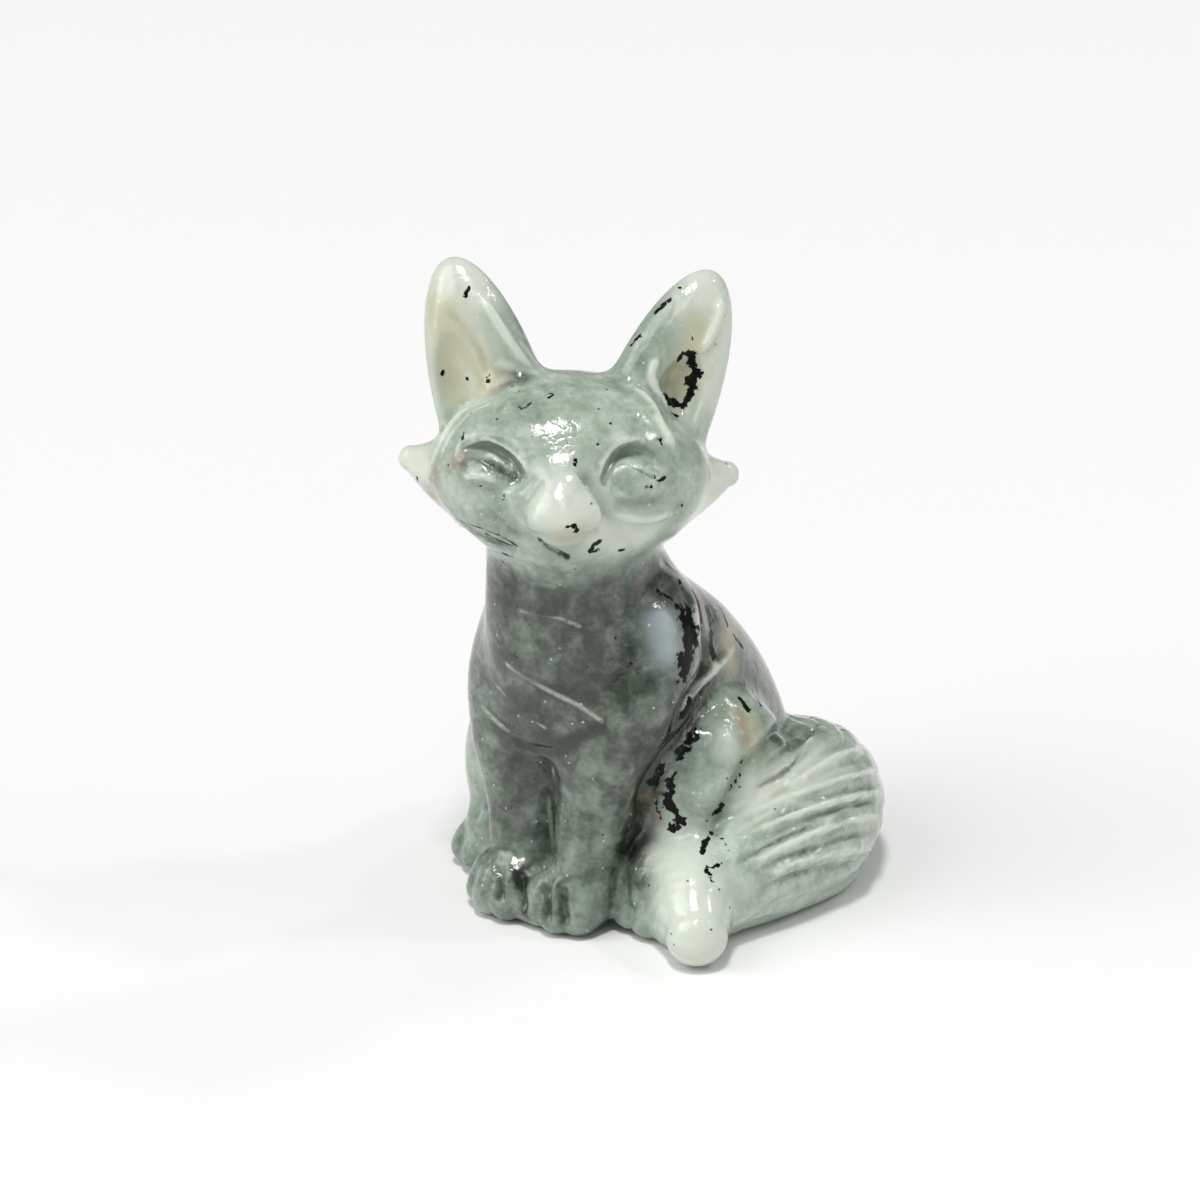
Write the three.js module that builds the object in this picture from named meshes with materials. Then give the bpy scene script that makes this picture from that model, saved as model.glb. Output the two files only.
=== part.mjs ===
import * as THREE from "three";

// A seated fox carved from one piece of grey-green stone. The body faces -Y, the head is
// turned to the fox's left (+X), and the tail comes round that side with its tip beside
// the front paws. Sizes are millimetres and +Z is up. The stone is one closed body: its
// volumes are distance fields, which run into each other as ground and polished stone does.

// Size of the facets on the paws and face, on the ears, and on the plain back and flanks.
const FINE_FACET = 1.0;
const EAR_FACET = 1.15;
const PLAIN_FACET = 1.5;

// Overall size. The facets cut the round ends a little short, and are stretched back to it.
const SIZE = { width: 33.6, depth: 36.5, height: 52.8 };

// Space that the carving is worked out in, with the places where the facets change size.
const SPACE = { west: -17.2, east: 21, front: -20, flanks: -6, back: 21 };
const HEIGHTS = { floor: -1.5, paws: 5, neck: 29, face: 46, top: 55 };

// Torso sections at equal steps of height: half width, breast line, back line.
const TORSO = {
  lowest: -2,
  step: 6,
  squareness: 2.2,
  shoulders: 35,
  sections: [
    [8.6, -9.0, 13.6],
    [9.8, -9.3, 15.7],
    [9.9, -9.2, 15.8],
    [9.1, -12.7, 13.5],
    [8.4, -14.1, 8.5],
    [7.1, -14.2, 1.4],
    [6.4, -13.7, -1.8],
    [6.0, -12.5, -2.0],
  ],
};

// Front leg from the shoulder to the wrist: place and radius.
const FRONT_LEG = [
  [5.0, -4.8, 24.0, 4.5],
  [4.9, -6.9, 18.8, 5.0],
  [4.5, -8.3, 14.0, 4.3],
  [3.6, -9.4, 9.0, 3.1],
  [3.4, -10.0, 5.0, 2.7],
  [3.4, -10.6, 2.6, 2.8],
];

// Paws: a rounded pad with toes spread round it like a fan.
const FRONT_PAW = {
  pad: [2.6, 2.9, 2.8],
  padHeight: 2.6,
  toes: 4,
  spread: 33,
  reach: 3.0,
  toeRadius: 1.55,
  knuckleHeight: 4.0,
  toeHeight: 1.6,
};
const HIND_PAW = {
  pad: [3.2, 4.4, 4.1],
  padHeight: 3.5,
  toes: 4,
  spread: 30,
  reach: 3.5,
  toeRadius: 1.45,
  knuckleHeight: 3.4,
  toeHeight: 1.6,
};
// A toe from its knuckle to its tip: shares of the reach, of the height and of the radius.
const KNUCKLE = { out: 0.3, radius: 0.9 };
const ARCH = { out: 0.8, height: 0.8 };
const TOE_BLEND = 0.3;
const PAW_PLACES = [
  { paw: FRONT_PAW, x: -2.9, y: -10.7, heading: 0, blend: 0.8 },
  { paw: FRONT_PAW, x: 2.2, y: -10.0, heading: -8, blend: 0.8 },
  { paw: HIND_PAW, x: -9.1, y: -4.8, heading: 6, blend: 0.7 },
  { paw: HIND_PAW, x: 8.2, y: -5.6, heading: -6, blend: 0.7 },
];

// Thighs, the right one standing out a little more than the one behind the tail.
const THIGHS = [
  { centre: [-9.7, 0.6, 8.4], radii: [5.0, 8.9, 9.0], turn: [4, 0, -4] },
  { centre: [8.6, 0.4, 8.9], radii: [5.2, 7.4, 8.8], turn: [-8, 0, 2] },
];

// Tail, from the rump round the fox's left to the tip: place and radius.
const TAIL = [
  [0.5, 13.0, 5.2, 3.4],
  [5.0, 13.8, 5.3, 4.9],
  [9.7, 11.6, 5.4, 6.2],
  [12.4, 6.8, 5.4, 6.2],
  [12.7, 1.0, 5.1, 5.6],
  [12.3, -4.2, 4.5, 4.5],
  [12.8, -7.9, 3.7, 3.6],
  [14.8, -10.5, 2.6, 2.5],
];
// The lock of hair that lies along the floor under it.
const LOW_LOCK = [
  [9.5, 13.4, 2.3, 3.6],
  [14.0, 8.0, 2.2, 3.3],
  [13.8, 1.5, 2.2, 3.0],
  [12.4, -4.5, 2.1, 2.7],
  [12.8, -8.2, 2.0, 2.4],
];
// How widely the tail runs into the body behind, and into the haunch beside its tip.
const TAIL_BLEND = { behind: 0.9, from: -3, tip: 2.6, to: -9 };
const LOCKS = { count: 9, depth: 0.45, start: 0.1, end: 0.84, seam: 2.75 };

// Head: its own frame is turned to the fox's left and tipped a little.
const HEAD = { centre: [0, -8, 37.6], turn: [38, -10, 3], lowest: 25 };
const SKULL = { centre: [0, 1.2, 0.8], radii: [8.8, 7.2, 6.6] };
const FACE = { centre: [0, -1.8, -0.8], radii: [10.7, 6.0, 7.3] };
const FACE_TAPER = { level: -1, slope: 0.025, bend: 0.002 };
const MUZZLE = { centre: [-0.2, -7.2, -1.0], radii: [3.6, 4.3, 2.3], turn: [0, 42, 0] };
const CHIN = [
  [0, -4.0, -4.4, 3.4],
  [-0.2, -6.0, -4.0, 2.8],
];
const TUFT = [
  [7.4, 0.6, -1.0, 4.3],
  [10.0, 1.5, -0.8, 2.8],
  [12.0, 2.4, -0.3, 1.65],
];
// The two sides of the face are carved by hand and aren't alike.
const RIGHT_SIDE = {
  ear: {
    base: [6.2, 1.4, 4.3],
    hollow: { centre: [1.9, -2.8, 1.6], radii: [2.4, 2.2, 5.6], turn: [0, 0, -4] },
  },
  socket: { centre: [6.3, -7.7, 1.5], radii: [3.7, 2.7, 2.3], turn: [24, -20, -16] },
  lid: { centre: [6.0, -5.0, 0.4], radii: [2.9, 2.0, 1.5], turn: [20, 0, -14] },
  tuftBlend: 0.5,
};
const LEFT_SIDE = {
  ear: {
    base: [6.5, 1.4, 4.3],
    hollow: { centre: [0.9, -3.0, 1.9], radii: [2.1, 2.5, 4.0], turn: [0, 0, -6] },
  },
  socket: { centre: [5.2, -8.0, 1.8], radii: [3.3, 2.8, 2.5], turn: [12, -20, 6] },
  lid: { centre: [5.4, -5.2, 0.3], radii: [2.7, 1.9, 1.7], turn: [14, 0, 12] },
  tuftBlend: 1.4,
};
const EAR = { radii: [4.5, 2.7, 12.0], turn: [10, -6, 21], taper: 0.004, flat: 1.9 };

const STONE = { color: 0x8d9c92, roughness: 0.15, metalness: 0 };

// Runs two distances into each other with a fillet of about the width k.
function join(a, b, k) {
  const reach = 1.5 * k;
  const share = Math.max(reach - Math.abs(a - b), 0) / reach;
  return Math.min(a, b) - (share ** 3 * reach) / 6;
}

// Cuts the second volume out of the first, with an edge eased over the width k.
const cut = (a, b, k) => -join(-a, b, k);

// The inverse of a frame at centre, turned by yaw, pitch and roll in degrees.
function intoFrame(centre, turn = [0, 0, 0]) {
  const [yaw, pitch, roll] = turn.map(THREE.MathUtils.degToRad);
  const spin = new THREE.Quaternion().setFromEuler(new THREE.Euler(pitch, roll, yaw, "ZXY"));
  const frame = new THREE.Matrix4();
  frame.compose(new THREE.Vector3(...centre), spin, new THREE.Vector3(1, 1, 1));
  return frame.invert();
}

// Distance field of an ellipsoid.
function ellipsoid({ centre, radii, turn }) {
  const inwards = intoFrame(centre, turn);
  const [rx, ry, rz] = radii;
  const q = new THREE.Vector3();
  return (p) => {
    q.copy(p).applyMatrix4(inwards);
    const near = Math.hypot(q.x / rx, q.y / ry, q.z / rz);
    const steep = Math.hypot(q.x / rx ** 2, q.y / ry ** 2, q.z / rz ** 2);
    return (near * (near - 1)) / Math.max(steep, 1e-6);
  };
}

// A round bar along a curve, whose stations hold a place and a radius. The field gives the
// distance and notes how far along the bar the nearest place is, as a share of its length.
class Bar {
  constructor(stations, stepsPerSpan = 5) {
    const spans = stations.length - 1;
    const places = stations.map(([x, y, z]) => new THREE.Vector3(x, y, z));
    const radii = stations.map((station) => new THREE.Vector3(station[3], 0, 0));
    this.path = new THREE.CatmullRomCurve3(places, false, "catmullrom", 0.5);
    const size = new THREE.CatmullRomCurve3(radii, false, "catmullrom", 0.5);
    this.points = this.path.getPoints(spans * stepsPerSpan);
    this.radii = size.getPoints(spans * stepsPerSpan).map((radius) => radius.x);
    this.share = 0;
    this.nearest = new THREE.Vector3();
    this.segment = new THREE.Line3();
    this.foot = new THREE.Vector3();
  }

  distance(p) {
    const last = this.points.length - 1;
    let best = Infinity;
    let station = 0;
    for (let i = 0; i < last; i += 1) {
      this.segment.set(this.points[i], this.points[i + 1]);
      const along = this.segment.closestPointToPointParameter(p, true);
      this.segment.at(along, this.foot);
      const gap = this.foot.distanceToSquared(p);
      if (gap < best) {
        best = gap;
        station = i + along;
        this.nearest.copy(this.foot);
      }
    }
    this.share = station / last;
    const i = Math.min(Math.floor(station), last - 1);
    const radius = THREE.MathUtils.lerp(this.radii[i], this.radii[i + 1], station - i);
    return Math.sqrt(best) - radius;
  }
}

// Value of a smooth line through equally spaced rows, for one column of them.
function readRow(rows, column, place) {
  const last = rows.length - 1;
  const at = THREE.MathUtils.clamp(place, 0, last - 1e-6);
  const i = Math.floor(at);
  const s = at - i;
  const value = (row) => rows[THREE.MathUtils.clamp(row, 0, last)][column];
  const before = i > 0 ? value(i - 1) : 2 * value(0) - value(1);
  const after = i + 2 <= last ? value(i + 2) : 2 * value(last) - value(last - 1);
  const slopeIn = (value(i + 1) - before) / 2;
  const slopeOut = (after - value(i)) / 2;
  const rise = value(i + 1) - value(i);
  const cubic = slopeIn + slopeOut - 2 * rise;
  const square = 3 * rise - 2 * slopeIn - slopeOut;
  return value(i) + s * (slopeIn + s * (square + s * cubic));
}

// Torso: rounded sections from the rump to the neck, ended inside the head.
function torso(p) {
  const place = (p.z - TORSO.lowest) / TORSO.step;
  const [width, front, back] = [0, 1, 2].map((i) => readRow(TORSO.sections, i, place));
  const depth = (back - front) / 2;
  const across = Math.abs(p.x) / width;
  const along = Math.abs(p.y - (front + back) / 2) / depth;
  const n = TORSO.squareness;
  const near = (across ** n + along ** n) ** (1 / n);
  const steep = Math.hypot(across / width, along / depth) / Math.max(near, 1e-4);
  const side = ((near - 1) / Math.max(steep, 1e-4)) * 0.85;
  return cut(side, TORSO.shoulders - p.z, 1);
}

// A paw at its place: the pad and its toes.
function paw({ paw: shape, x, y, heading }) {
  const inwards = intoFrame([x, y, 0], [heading, 0, 0]);
  const pad = ellipsoid({ centre: [0, 0, shape.padHeight], radii: shape.pad });
  const toes = [];
  for (let i = 0; i < shape.toes; i += 1) {
    const angle = THREE.MathUtils.degToRad(shape.spread * (i - (shape.toes - 1) / 2));
    const out = (reach, height, radius) => [
      reach * Math.sin(angle), -reach * Math.cos(angle), height, radius,
    ];
    toes.push(new Bar([
      out(KNUCKLE.out * shape.reach, shape.knuckleHeight, KNUCKLE.radius * shape.toeRadius),
      out(ARCH.out * shape.reach, ARCH.height * shape.knuckleHeight, shape.toeRadius),
      out(shape.reach, shape.toeHeight, shape.toeRadius),
    ], 2));
  }
  const q = new THREE.Vector3();
  return (p) => {
    q.copy(p).applyMatrix4(inwards);
    const fan = toes.map((toe) => toe.distance(q)).reduce((a, b) => join(a, b, TOE_BLEND));
    return join(pad(q), fan, 0.35);
  };
}

// Tail: a full brush with locks combed along it, smooth at the root and the tip.
function tail() {
  const brush = new Bar(TAIL);
  const low = new Bar(LOW_LOCK);
  const out = new THREE.Vector3();
  return (p) => {
    let d = brush.distance(p);
    const s = brush.share;
    const heading = brush.path.getTangent(s);
    out.copy(p).sub(brush.nearest);
    const outwards = out.y * heading.x - out.x * heading.y;
    const round = Math.atan2(out.z, outwards);
    const wave = (round * LOCKS.count) / 2 + 0.8 * Math.sin(9 * s + 2 * round);
    const ease = THREE.MathUtils.clamp((s - LOCKS.start) * 6, 0, 1)
      * THREE.MathUtils.clamp((LOCKS.end - s) * 6, 0, 1)
      * THREE.MathUtils.clamp((LOCKS.seam - Math.abs(round)) * 3, 0, 1)
      * THREE.MathUtils.clamp(1.5 - Math.abs(d), 0, 1);
    d -= LOCKS.depth * ease * (Math.abs(Math.sin(wave)) - 0.6);
    return join(d, low.distance(p), 0.5);
  };
}

// An ear: a tall leaf with a hollow ground into its front.
function ear({ base, hollow }) {
  const inwards = intoFrame(base, EAR.turn);
  const leaf = ellipsoid({ centre: [0, 0, 0], radii: EAR.radii });
  const bowl = ellipsoid(hollow);
  const q = new THREE.Vector3();
  const narrowed = new THREE.Vector3();
  return (p) => {
    q.copy(p).applyMatrix4(inwards);
    const scale = THREE.MathUtils.clamp(1 - EAR.taper * q.z, 0.3, 2);
    narrowed.set(q.x / scale, q.y / scale, q.z);
    const d = cut(leaf(narrowed) * Math.min(scale, 1), q.y + EAR.flat, 0.6);
    return cut(d, bowl(q), 0.8);
  };
}

// Half of the head's carving: socket, closed lid, tuft and ear.
function faceSide(side) {
  return {
    socket: ellipsoid(side.socket),
    lid: ellipsoid(side.lid),
    ear: ear(side.ear),
    tuftBlend: side.tuftBlend,
  };
}

// Head: skull, face, muzzle and chin, then each side's carving, mirrored across the face.
function head() {
  const inwards = intoFrame(HEAD.centre, HEAD.turn);
  const skull = ellipsoid(SKULL);
  const face = ellipsoid(FACE);
  const muzzle = ellipsoid(MUZZLE);
  const chin = new Bar(CHIN, 1);
  const tuft = new Bar(TUFT, 3);
  const sides = { right: faceSide(RIGHT_SIDE), left: faceSide(LEFT_SIDE) };
  const q = new THREE.Vector3();
  const mirrored = new THREE.Vector3();
  const tapered = new THREE.Vector3();
  return (p) => {
    q.copy(p).applyMatrix4(inwards);
    const side = q.x < 0 ? sides.right : sides.left;
    mirrored.set(Math.abs(q.x), q.y, q.z);
    const rise = q.z - FACE_TAPER.level;
    const scale = THREE.MathUtils.clamp(
      1 + FACE_TAPER.slope * rise - FACE_TAPER.bend * rise * rise, 0.4, 1.2);
    tapered.set(q.x / scale, q.y, q.z);
    let d = join(skull(q), face(tapered) * Math.min(scale, 1), 1.2);
    d = join(d, chin.distance(q), 2.4);
    d = join(d, muzzle(q), 1.3);
    d = join(d, tuft.distance(mirrored), side.tuftBlend);
    d = cut(d, side.socket(mirrored), 0.8);
    d = join(d, side.lid(mirrored), 0.9);
    return join(d, side.ear(mirrored), 1.5);
  };
}

// The whole carving, with its underside ground flat at the floor.
function fox() {
  const leg = new Bar(FRONT_LEG, 3);
  const paws = PAW_PLACES.map((place) => ({ field: paw(place), blend: place.blend }));
  const thighs = THIGHS.map(ellipsoid);
  const brush = tail();
  const turnedHead = head();
  const mirrored = new THREE.Vector3();
  return (p) => {
    mirrored.set(Math.abs(p.x), p.y, p.z);
    let d = join(torso(p), leg.distance(mirrored), 1.8);
    for (const { field, blend } of paws) {
      d = join(d, field(p), blend);
    }
    d = join(d, Math.min(...thighs.map((thigh) => thigh(p))), 1.4);
    const { behind, from, tip, to } = TAIL_BLEND;
    d = join(d, brush(p), THREE.MathUtils.mapLinear(
      THREE.MathUtils.clamp(p.y, to, from), to, from, tip, behind));
    if (p.z > HEAD.lowest) {
      d = join(d, turnedHead(p), 1.3);
    }
    return cut(d, p.z, 0.5);
  };
}

// Evenly spaced places from one end of a stretch up to, but not with, the other.
function stretch(from, to, step) {
  const count = Math.ceil((to - from) / step);
  return Array.from({ length: count }, (_, i) => from + ((to - from) * i) / count);
}

// Corners of a grid cell, numbered by their steps along X, Y and Z as bits 1, 2 and 4.
const CORNERS = [0, 1, 2, 3, 4, 5, 6, 7];
const step = (corner, axis) => (corner >> axis) & 1;

// The four corners round each side of a cell, in order.
const SIDES = [0, 1, 2].flatMap((axis) => [0, 1].map((far) => {
  const u = 1 << (axis + 1) % 3;
  const w = 1 << (axis + 2) % 3;
  const start = far << axis;
  return [start, start | u, start | u | w, start | w];
}));

// The surface of a field as a net of facets. Each cell of the grid gets one vertex for
// each sheet of the surface that goes through it, which then slides onto the surface, and
// each grid edge that the surface crosses gets two triangles.
class CarvedGeometry extends THREE.BufferGeometry {
  constructor(field, levels) {
    super();
    this.field = field;
    this.levels = levels;
    this.size = levels.map((level) => level.length);
    this.values = this.sample();
    this.vertices = [];
    this.vertexOnEdge = new Map();
    this.placeVertices();
    this.vertices.forEach((vertex) => this.slide(vertex));
    this.setFromPoints(this.vertices);
    this.setIndex(this.facets());
    this.computeVertexNormals();
  }

  key(i, j, k) {
    return (i * this.size[1] + j) * this.size[2] + k;
  }

  node(i, j, k) {
    const [xs, ys, zs] = this.levels;
    return new THREE.Vector3(xs[i], ys[j], zs[k]);
  }

  sample() {
    const [nx, ny, nz] = this.size;
    const values = new Float64Array(nx * ny * nz);
    for (let i = 0; i < nx; i += 1) {
      for (let j = 0; j < ny; j += 1) {
        for (let k = 0; k < nz; k += 1) {
          values[this.key(i, j, k)] = this.field(this.node(i, j, k));
        }
      }
    }
    return values;
  }

  // Edges of a cell that the surface crosses, as pairs of corners in one list per sheet.
  // Round each side, the edge where the stone begins belongs with the edge where it ends.
  sheets(inside) {
    const sheets = [];
    const sheetWith = (edge) => {
      let sheet = sheets.find((edges) => edges.includes(edge));
      if (!sheet) {
        sheet = [edge];
        sheets.push(sheet);
      }
      return sheet;
    };
    const edgeName = (a, b) => 8 * Math.min(a, b) + Math.max(a, b);
    for (const ring of SIDES) {
      for (let i = 0; i < 4; i += 1) {
        if (!inside[ring[i]] && inside[ring[(i + 1) % 4]]) {
          let end = i + 1;
          while (inside[ring[(end + 1) % 4]]) {
            end += 1;
          }
          const first = sheetWith(edgeName(ring[i], ring[(i + 1) % 4]));
          const second = sheetWith(edgeName(ring[end % 4], ring[(end + 1) % 4]));
          if (first !== second) {
            first.push(...second);
            sheets.splice(sheets.indexOf(second), 1);
          }
        }
      }
    }
    return sheets;
  }

  // One vertex for a sheet: the mean of the places where it crosses the cell's edges.
  placeVertex(cell, sheet) {
    const nodeAt = (corner) => cell.map((start, axis) => start + step(corner, axis));
    const vertex = new THREE.Vector3();
    for (const edge of sheet) {
      const from = nodeAt(edge >> 3);
      const to = nodeAt(edge & 7);
      const a = this.values[this.key(...from)];
      const b = this.values[this.key(...to)];
      vertex.add(this.node(...from).lerp(this.node(...to), a / (a - b)));
      this.vertexOnEdge.set(64 * this.key(...cell) + edge, this.vertices.length);
    }
    this.vertices.push(vertex.divideScalar(sheet.length));
  }

  placeVertices() {
    const [nx, ny, nz] = this.size;
    for (let i = 0; i < nx - 1; i += 1) {
      for (let j = 0; j < ny - 1; j += 1) {
        for (let k = 0; k < nz - 1; k += 1) {
          const inside = CORNERS.map((corner) => this.values[
            this.key(i + step(corner, 0), j + step(corner, 1), k + step(corner, 2))] < 0);
          for (const sheet of this.sheets(inside)) {
            this.placeVertex([i, j, k], sheet);
          }
        }
      }
    }
  }

  // Newton steps along the field's slope, kept short so that the net can't fold.
  slide(vertex) {
    const reach = 0.02;
    const slope = new THREE.Vector3();
    const probe = new THREE.Vector3();
    for (let round = 0; round < 3; round += 1) {
      for (const axis of ["x", "y", "z"]) {
        probe.copy(vertex)[axis] += reach;
        const ahead = this.field(probe);
        probe[axis] -= 2 * reach;
        slope[axis] = (ahead - this.field(probe)) / (2 * reach);
      }
      const steps = -this.field(vertex) / Math.max(slope.lengthSq(), 0.3);
      vertex.add(slope.multiplyScalar(steps).clampLength(0, 0.25 * FINE_FACET));
    }
    if (Math.abs(vertex.z) < reach) {
      vertex.z = 0;
    }
  }

  facets() {
    const index = [];
    for (let axis = 0; axis < 3; axis += 1) {
      const u = (axis + 1) % 3;
      const w = (axis + 2) % 3;
      const at = [0, 0, 0];
      for (at[axis] = 0; at[axis] < this.size[axis] - 1; at[axis] += 1) {
        for (at[u] = 1; at[u] < this.size[u]; at[u] += 1) {
          for (at[w] = 1; at[w] < this.size[w]; at[w] += 1) {
            this.addQuad(index, at, axis);
          }
        }
      }
    }
    return index;
  }

  // Two triangles between the four cells round a grid edge, split along the short diagonal.
  addQuad(index, at, axis) {
    const next = [...at];
    next[axis] += 1;
    const inside = this.values[this.key(...at)] < 0;
    if (inside === this.values[this.key(...next)] < 0) {
      return;
    }
    const u = (axis + 1) % 3;
    const w = (axis + 2) % 3;
    const vertexIn = (du, dw) => {
      const cell = [...at];
      cell[u] -= du;
      cell[w] -= dw;
      const corner = (du << u) | (dw << w);
      return this.vertexOnEdge.get(64 * this.key(...cell) + 8 * corner + (corner | (1 << axis)));
    };
    const quad = [vertexIn(1, 1), vertexIn(0, 1), vertexIn(0, 0), vertexIn(1, 0)];
    if (!inside) {
      quad.reverse();
    }
    const [a, b, c, d] = quad;
    const gap = (from, to) => this.vertices[from].distanceTo(this.vertices[to]);
    if (gap(a, c) < gap(b, d)) {
      index.push(a, b, c, a, c, d);
    } else {
      index.push(a, b, d, b, c, d);
    }
  }
}

// Gives the carving its overall size, and stands it with the middle of its box over the origin.
function standAtOrigin(geometry) {
  geometry.computeBoundingBox();
  const box = geometry.boundingBox;
  const middle = box.getCenter(new THREE.Vector3());
  const size = box.getSize(new THREE.Vector3());
  geometry.translate(-middle.x, -middle.y, -box.min.z);
  geometry.scale(SIZE.width / size.x, SIZE.depth / size.y, SIZE.height / size.z);
}

const levels = [
  stretch(SPACE.west, SPACE.east, EAR_FACET),
  [
    ...stretch(SPACE.front, SPACE.flanks, FINE_FACET),
    ...stretch(SPACE.flanks, SPACE.back, PLAIN_FACET),
  ],
  [
    ...stretch(HEIGHTS.floor, HEIGHTS.paws, FINE_FACET),
    ...stretch(HEIGHTS.paws, HEIGHTS.neck, PLAIN_FACET),
    ...stretch(HEIGHTS.neck, HEIGHTS.face, FINE_FACET),
    ...stretch(HEIGHTS.face, HEIGHTS.top, EAR_FACET),
  ],
];
const geometry = new CarvedGeometry(fox(), levels);
standAtOrigin(geometry);

const carving = new THREE.Mesh(geometry, new THREE.MeshStandardMaterial(STONE));
carving.name = "fox_carving";
const crystalFox = new THREE.Group();
crystalFox.add(carving);

export default crystalFox;
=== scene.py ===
"""A seated fox carved from one piece of grey-green stone, dressed over its CAD solid.

The fine form is a distance field, as the solid's is, with the folds of the face, the strands
of the tail and the creases of the body carved into it. Lengths are millimetres in the
carving's own frame, with +Z up and the body facing -Y, until the finished mesh is set in its
place in metres. Places that the photograph shows are given in its pixels and found on the
stone by looking along the same ray.
"""
import logging
import math
from collections.abc import Callable, Iterable, Mapping, Sequence
from dataclasses import dataclass, fields
from enum import Enum
from typing import Any

import bpy
import numpy as np
from mathutils import Euler, Matrix, Vector
from mathutils.bvhtree import BVHTree


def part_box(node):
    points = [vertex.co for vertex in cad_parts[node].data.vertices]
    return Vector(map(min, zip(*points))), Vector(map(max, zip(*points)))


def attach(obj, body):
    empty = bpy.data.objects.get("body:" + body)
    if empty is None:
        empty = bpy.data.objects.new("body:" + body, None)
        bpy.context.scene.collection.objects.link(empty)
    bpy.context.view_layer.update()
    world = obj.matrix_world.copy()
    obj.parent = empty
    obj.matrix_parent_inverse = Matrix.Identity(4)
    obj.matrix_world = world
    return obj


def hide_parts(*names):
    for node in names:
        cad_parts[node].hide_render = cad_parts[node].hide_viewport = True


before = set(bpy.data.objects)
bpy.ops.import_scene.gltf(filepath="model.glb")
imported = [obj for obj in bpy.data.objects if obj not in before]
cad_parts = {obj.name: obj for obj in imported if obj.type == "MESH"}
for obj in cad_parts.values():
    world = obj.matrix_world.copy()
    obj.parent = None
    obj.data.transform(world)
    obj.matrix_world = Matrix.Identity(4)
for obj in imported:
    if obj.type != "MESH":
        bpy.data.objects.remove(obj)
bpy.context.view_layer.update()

log = logging.getLogger("fox")

Triple = tuple[float, float, float]
Colour = tuple[float, float, float, float]
Pixel = tuple[float, float]
Path = Sequence[Pixel]
Settings = Mapping[str, Any]
Inputs = Mapping[int | str, Any]

NODE = "fox_carving"
BODY = "root"
METRES = 0.001
TINY = 1e-6
TONE = "tone"
RELIEF = "relief"


class Kind(Enum):
    """The kinds of mark on the stone, painted shade, sheen and highlights among them, each stored
    on the surface under its value.
    """

    FLECK = "fleck"
    SCRATCH = "scratch"
    # Milky zones of the stone, and a painted highlight.
    PALE_AND_HIGHLIGHT = "pale"
    WARM = "warm"
    ROSE = "rose"
    # Painted sheen: a bluish highlight laid into the colour.
    PAINTED_SHEEN = "sheen"
    # Light veining of the stone, and painted highlights on lines that catch the light.
    VEIN_AND_HIGHLIGHT = "vein"
    # Painted shade in creases, clefts and hollows, and darker patches of the stone.
    SHADE_AND_DARK_TONE = "shade"


def join(a: np.ndarray, b: np.ndarray, width: float | np.ndarray) -> np.ndarray:
    """Runs two volumes into each other.

    Args:
        a: Distances from the first volume.
        b: Distances from the second.
        width: How far the fillet between them reaches.

    Returns:
        Distances from both together.
    """
    reach = 1.5 * width
    share = np.maximum(reach - np.abs(a - b), 0.0) / reach
    return np.minimum(a, b) - share**3 * reach / 6.0


def cut(a: np.ndarray, b: np.ndarray, width: float) -> np.ndarray:
    """Returns what is left of a once b is cut out, with an edge eased over the width."""
    return -join(-a, b, width)


def ramp(values: np.ndarray, start: float, end: float) -> np.ndarray:
    """Returns a smooth ramp over the values, 0 at start and 1 at end."""
    share = np.clip((values - start) / (end - start), 0.0, 1.0)
    return share * share * (3.0 - 2.0 * share)


def smooth_line(rows: Sequence[Sequence[float]], steps: int) -> np.ndarray:
    """Draws a smooth line through rows of numbers.

    Args:
        rows: The rows that the line goes through.
        steps: Spans between one row and the next.

    Returns:
        The line's rows, the given ones among them.
    """
    given = np.asarray(rows, float)
    given = np.vstack([2 * given[0] - given[1], given, 2 * given[-1] - given[-2]])
    share = np.linspace(0.0, 1.0, steps, endpoint=False)[:, None]
    line = []
    for a, b, c, d in zip(given, given[1:], given[2:], given[3:]):
        slope = 0.5 * (c - a)
        square = a - 2.5 * b + 2 * c - 0.5 * d
        cubic = 1.5 * (b - c) + 0.5 * (d - a)
        line.append(b + share * (slope + share * (square + share * cubic)))
    return np.vstack([*line, given[-2:-1]]).astype(np.float32)


def nearest_on(points: np.ndarray, start: np.ndarray, end: np.ndarray) -> tuple[np.ndarray, ...]:
    """Finds the nearest places of a straight span.

    Args:
        points: One row for each point.
        start: Where the span starts.
        end: Where it ends.

    Returns:
        How far along the span the nearest places lie, from 0 to 1, and the ways to the points.
    """
    along = end - start
    share = np.clip((points - start) @ along / (along @ along), 0.0, 1.0)
    return share, points - start - share[:, None] * along


def mirror(points: np.ndarray) -> np.ndarray:
    """Returns the points with those on the fox's right brought over to its left."""
    return np.concatenate([np.abs(points[:, :1]), points[:, 1:]], axis=1)


def out_from(azimuth: float, elevation: float) -> np.ndarray:
    """Returns the direction from the fox towards an azimuth and an elevation in degrees."""
    turn, rise = math.radians(azimuth), math.radians(elevation)
    level = math.cos(rise)
    return np.array([math.sin(turn) * level, -math.cos(turn) * level, math.sin(rise)])


def add_object(name: str, data: bpy.types.ID) -> bpy.types.Object:
    """Returns a new object of the scene that shows the data."""
    thing = bpy.data.objects.new(name, data)
    bpy.context.collection.objects.link(thing)
    return thing


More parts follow.
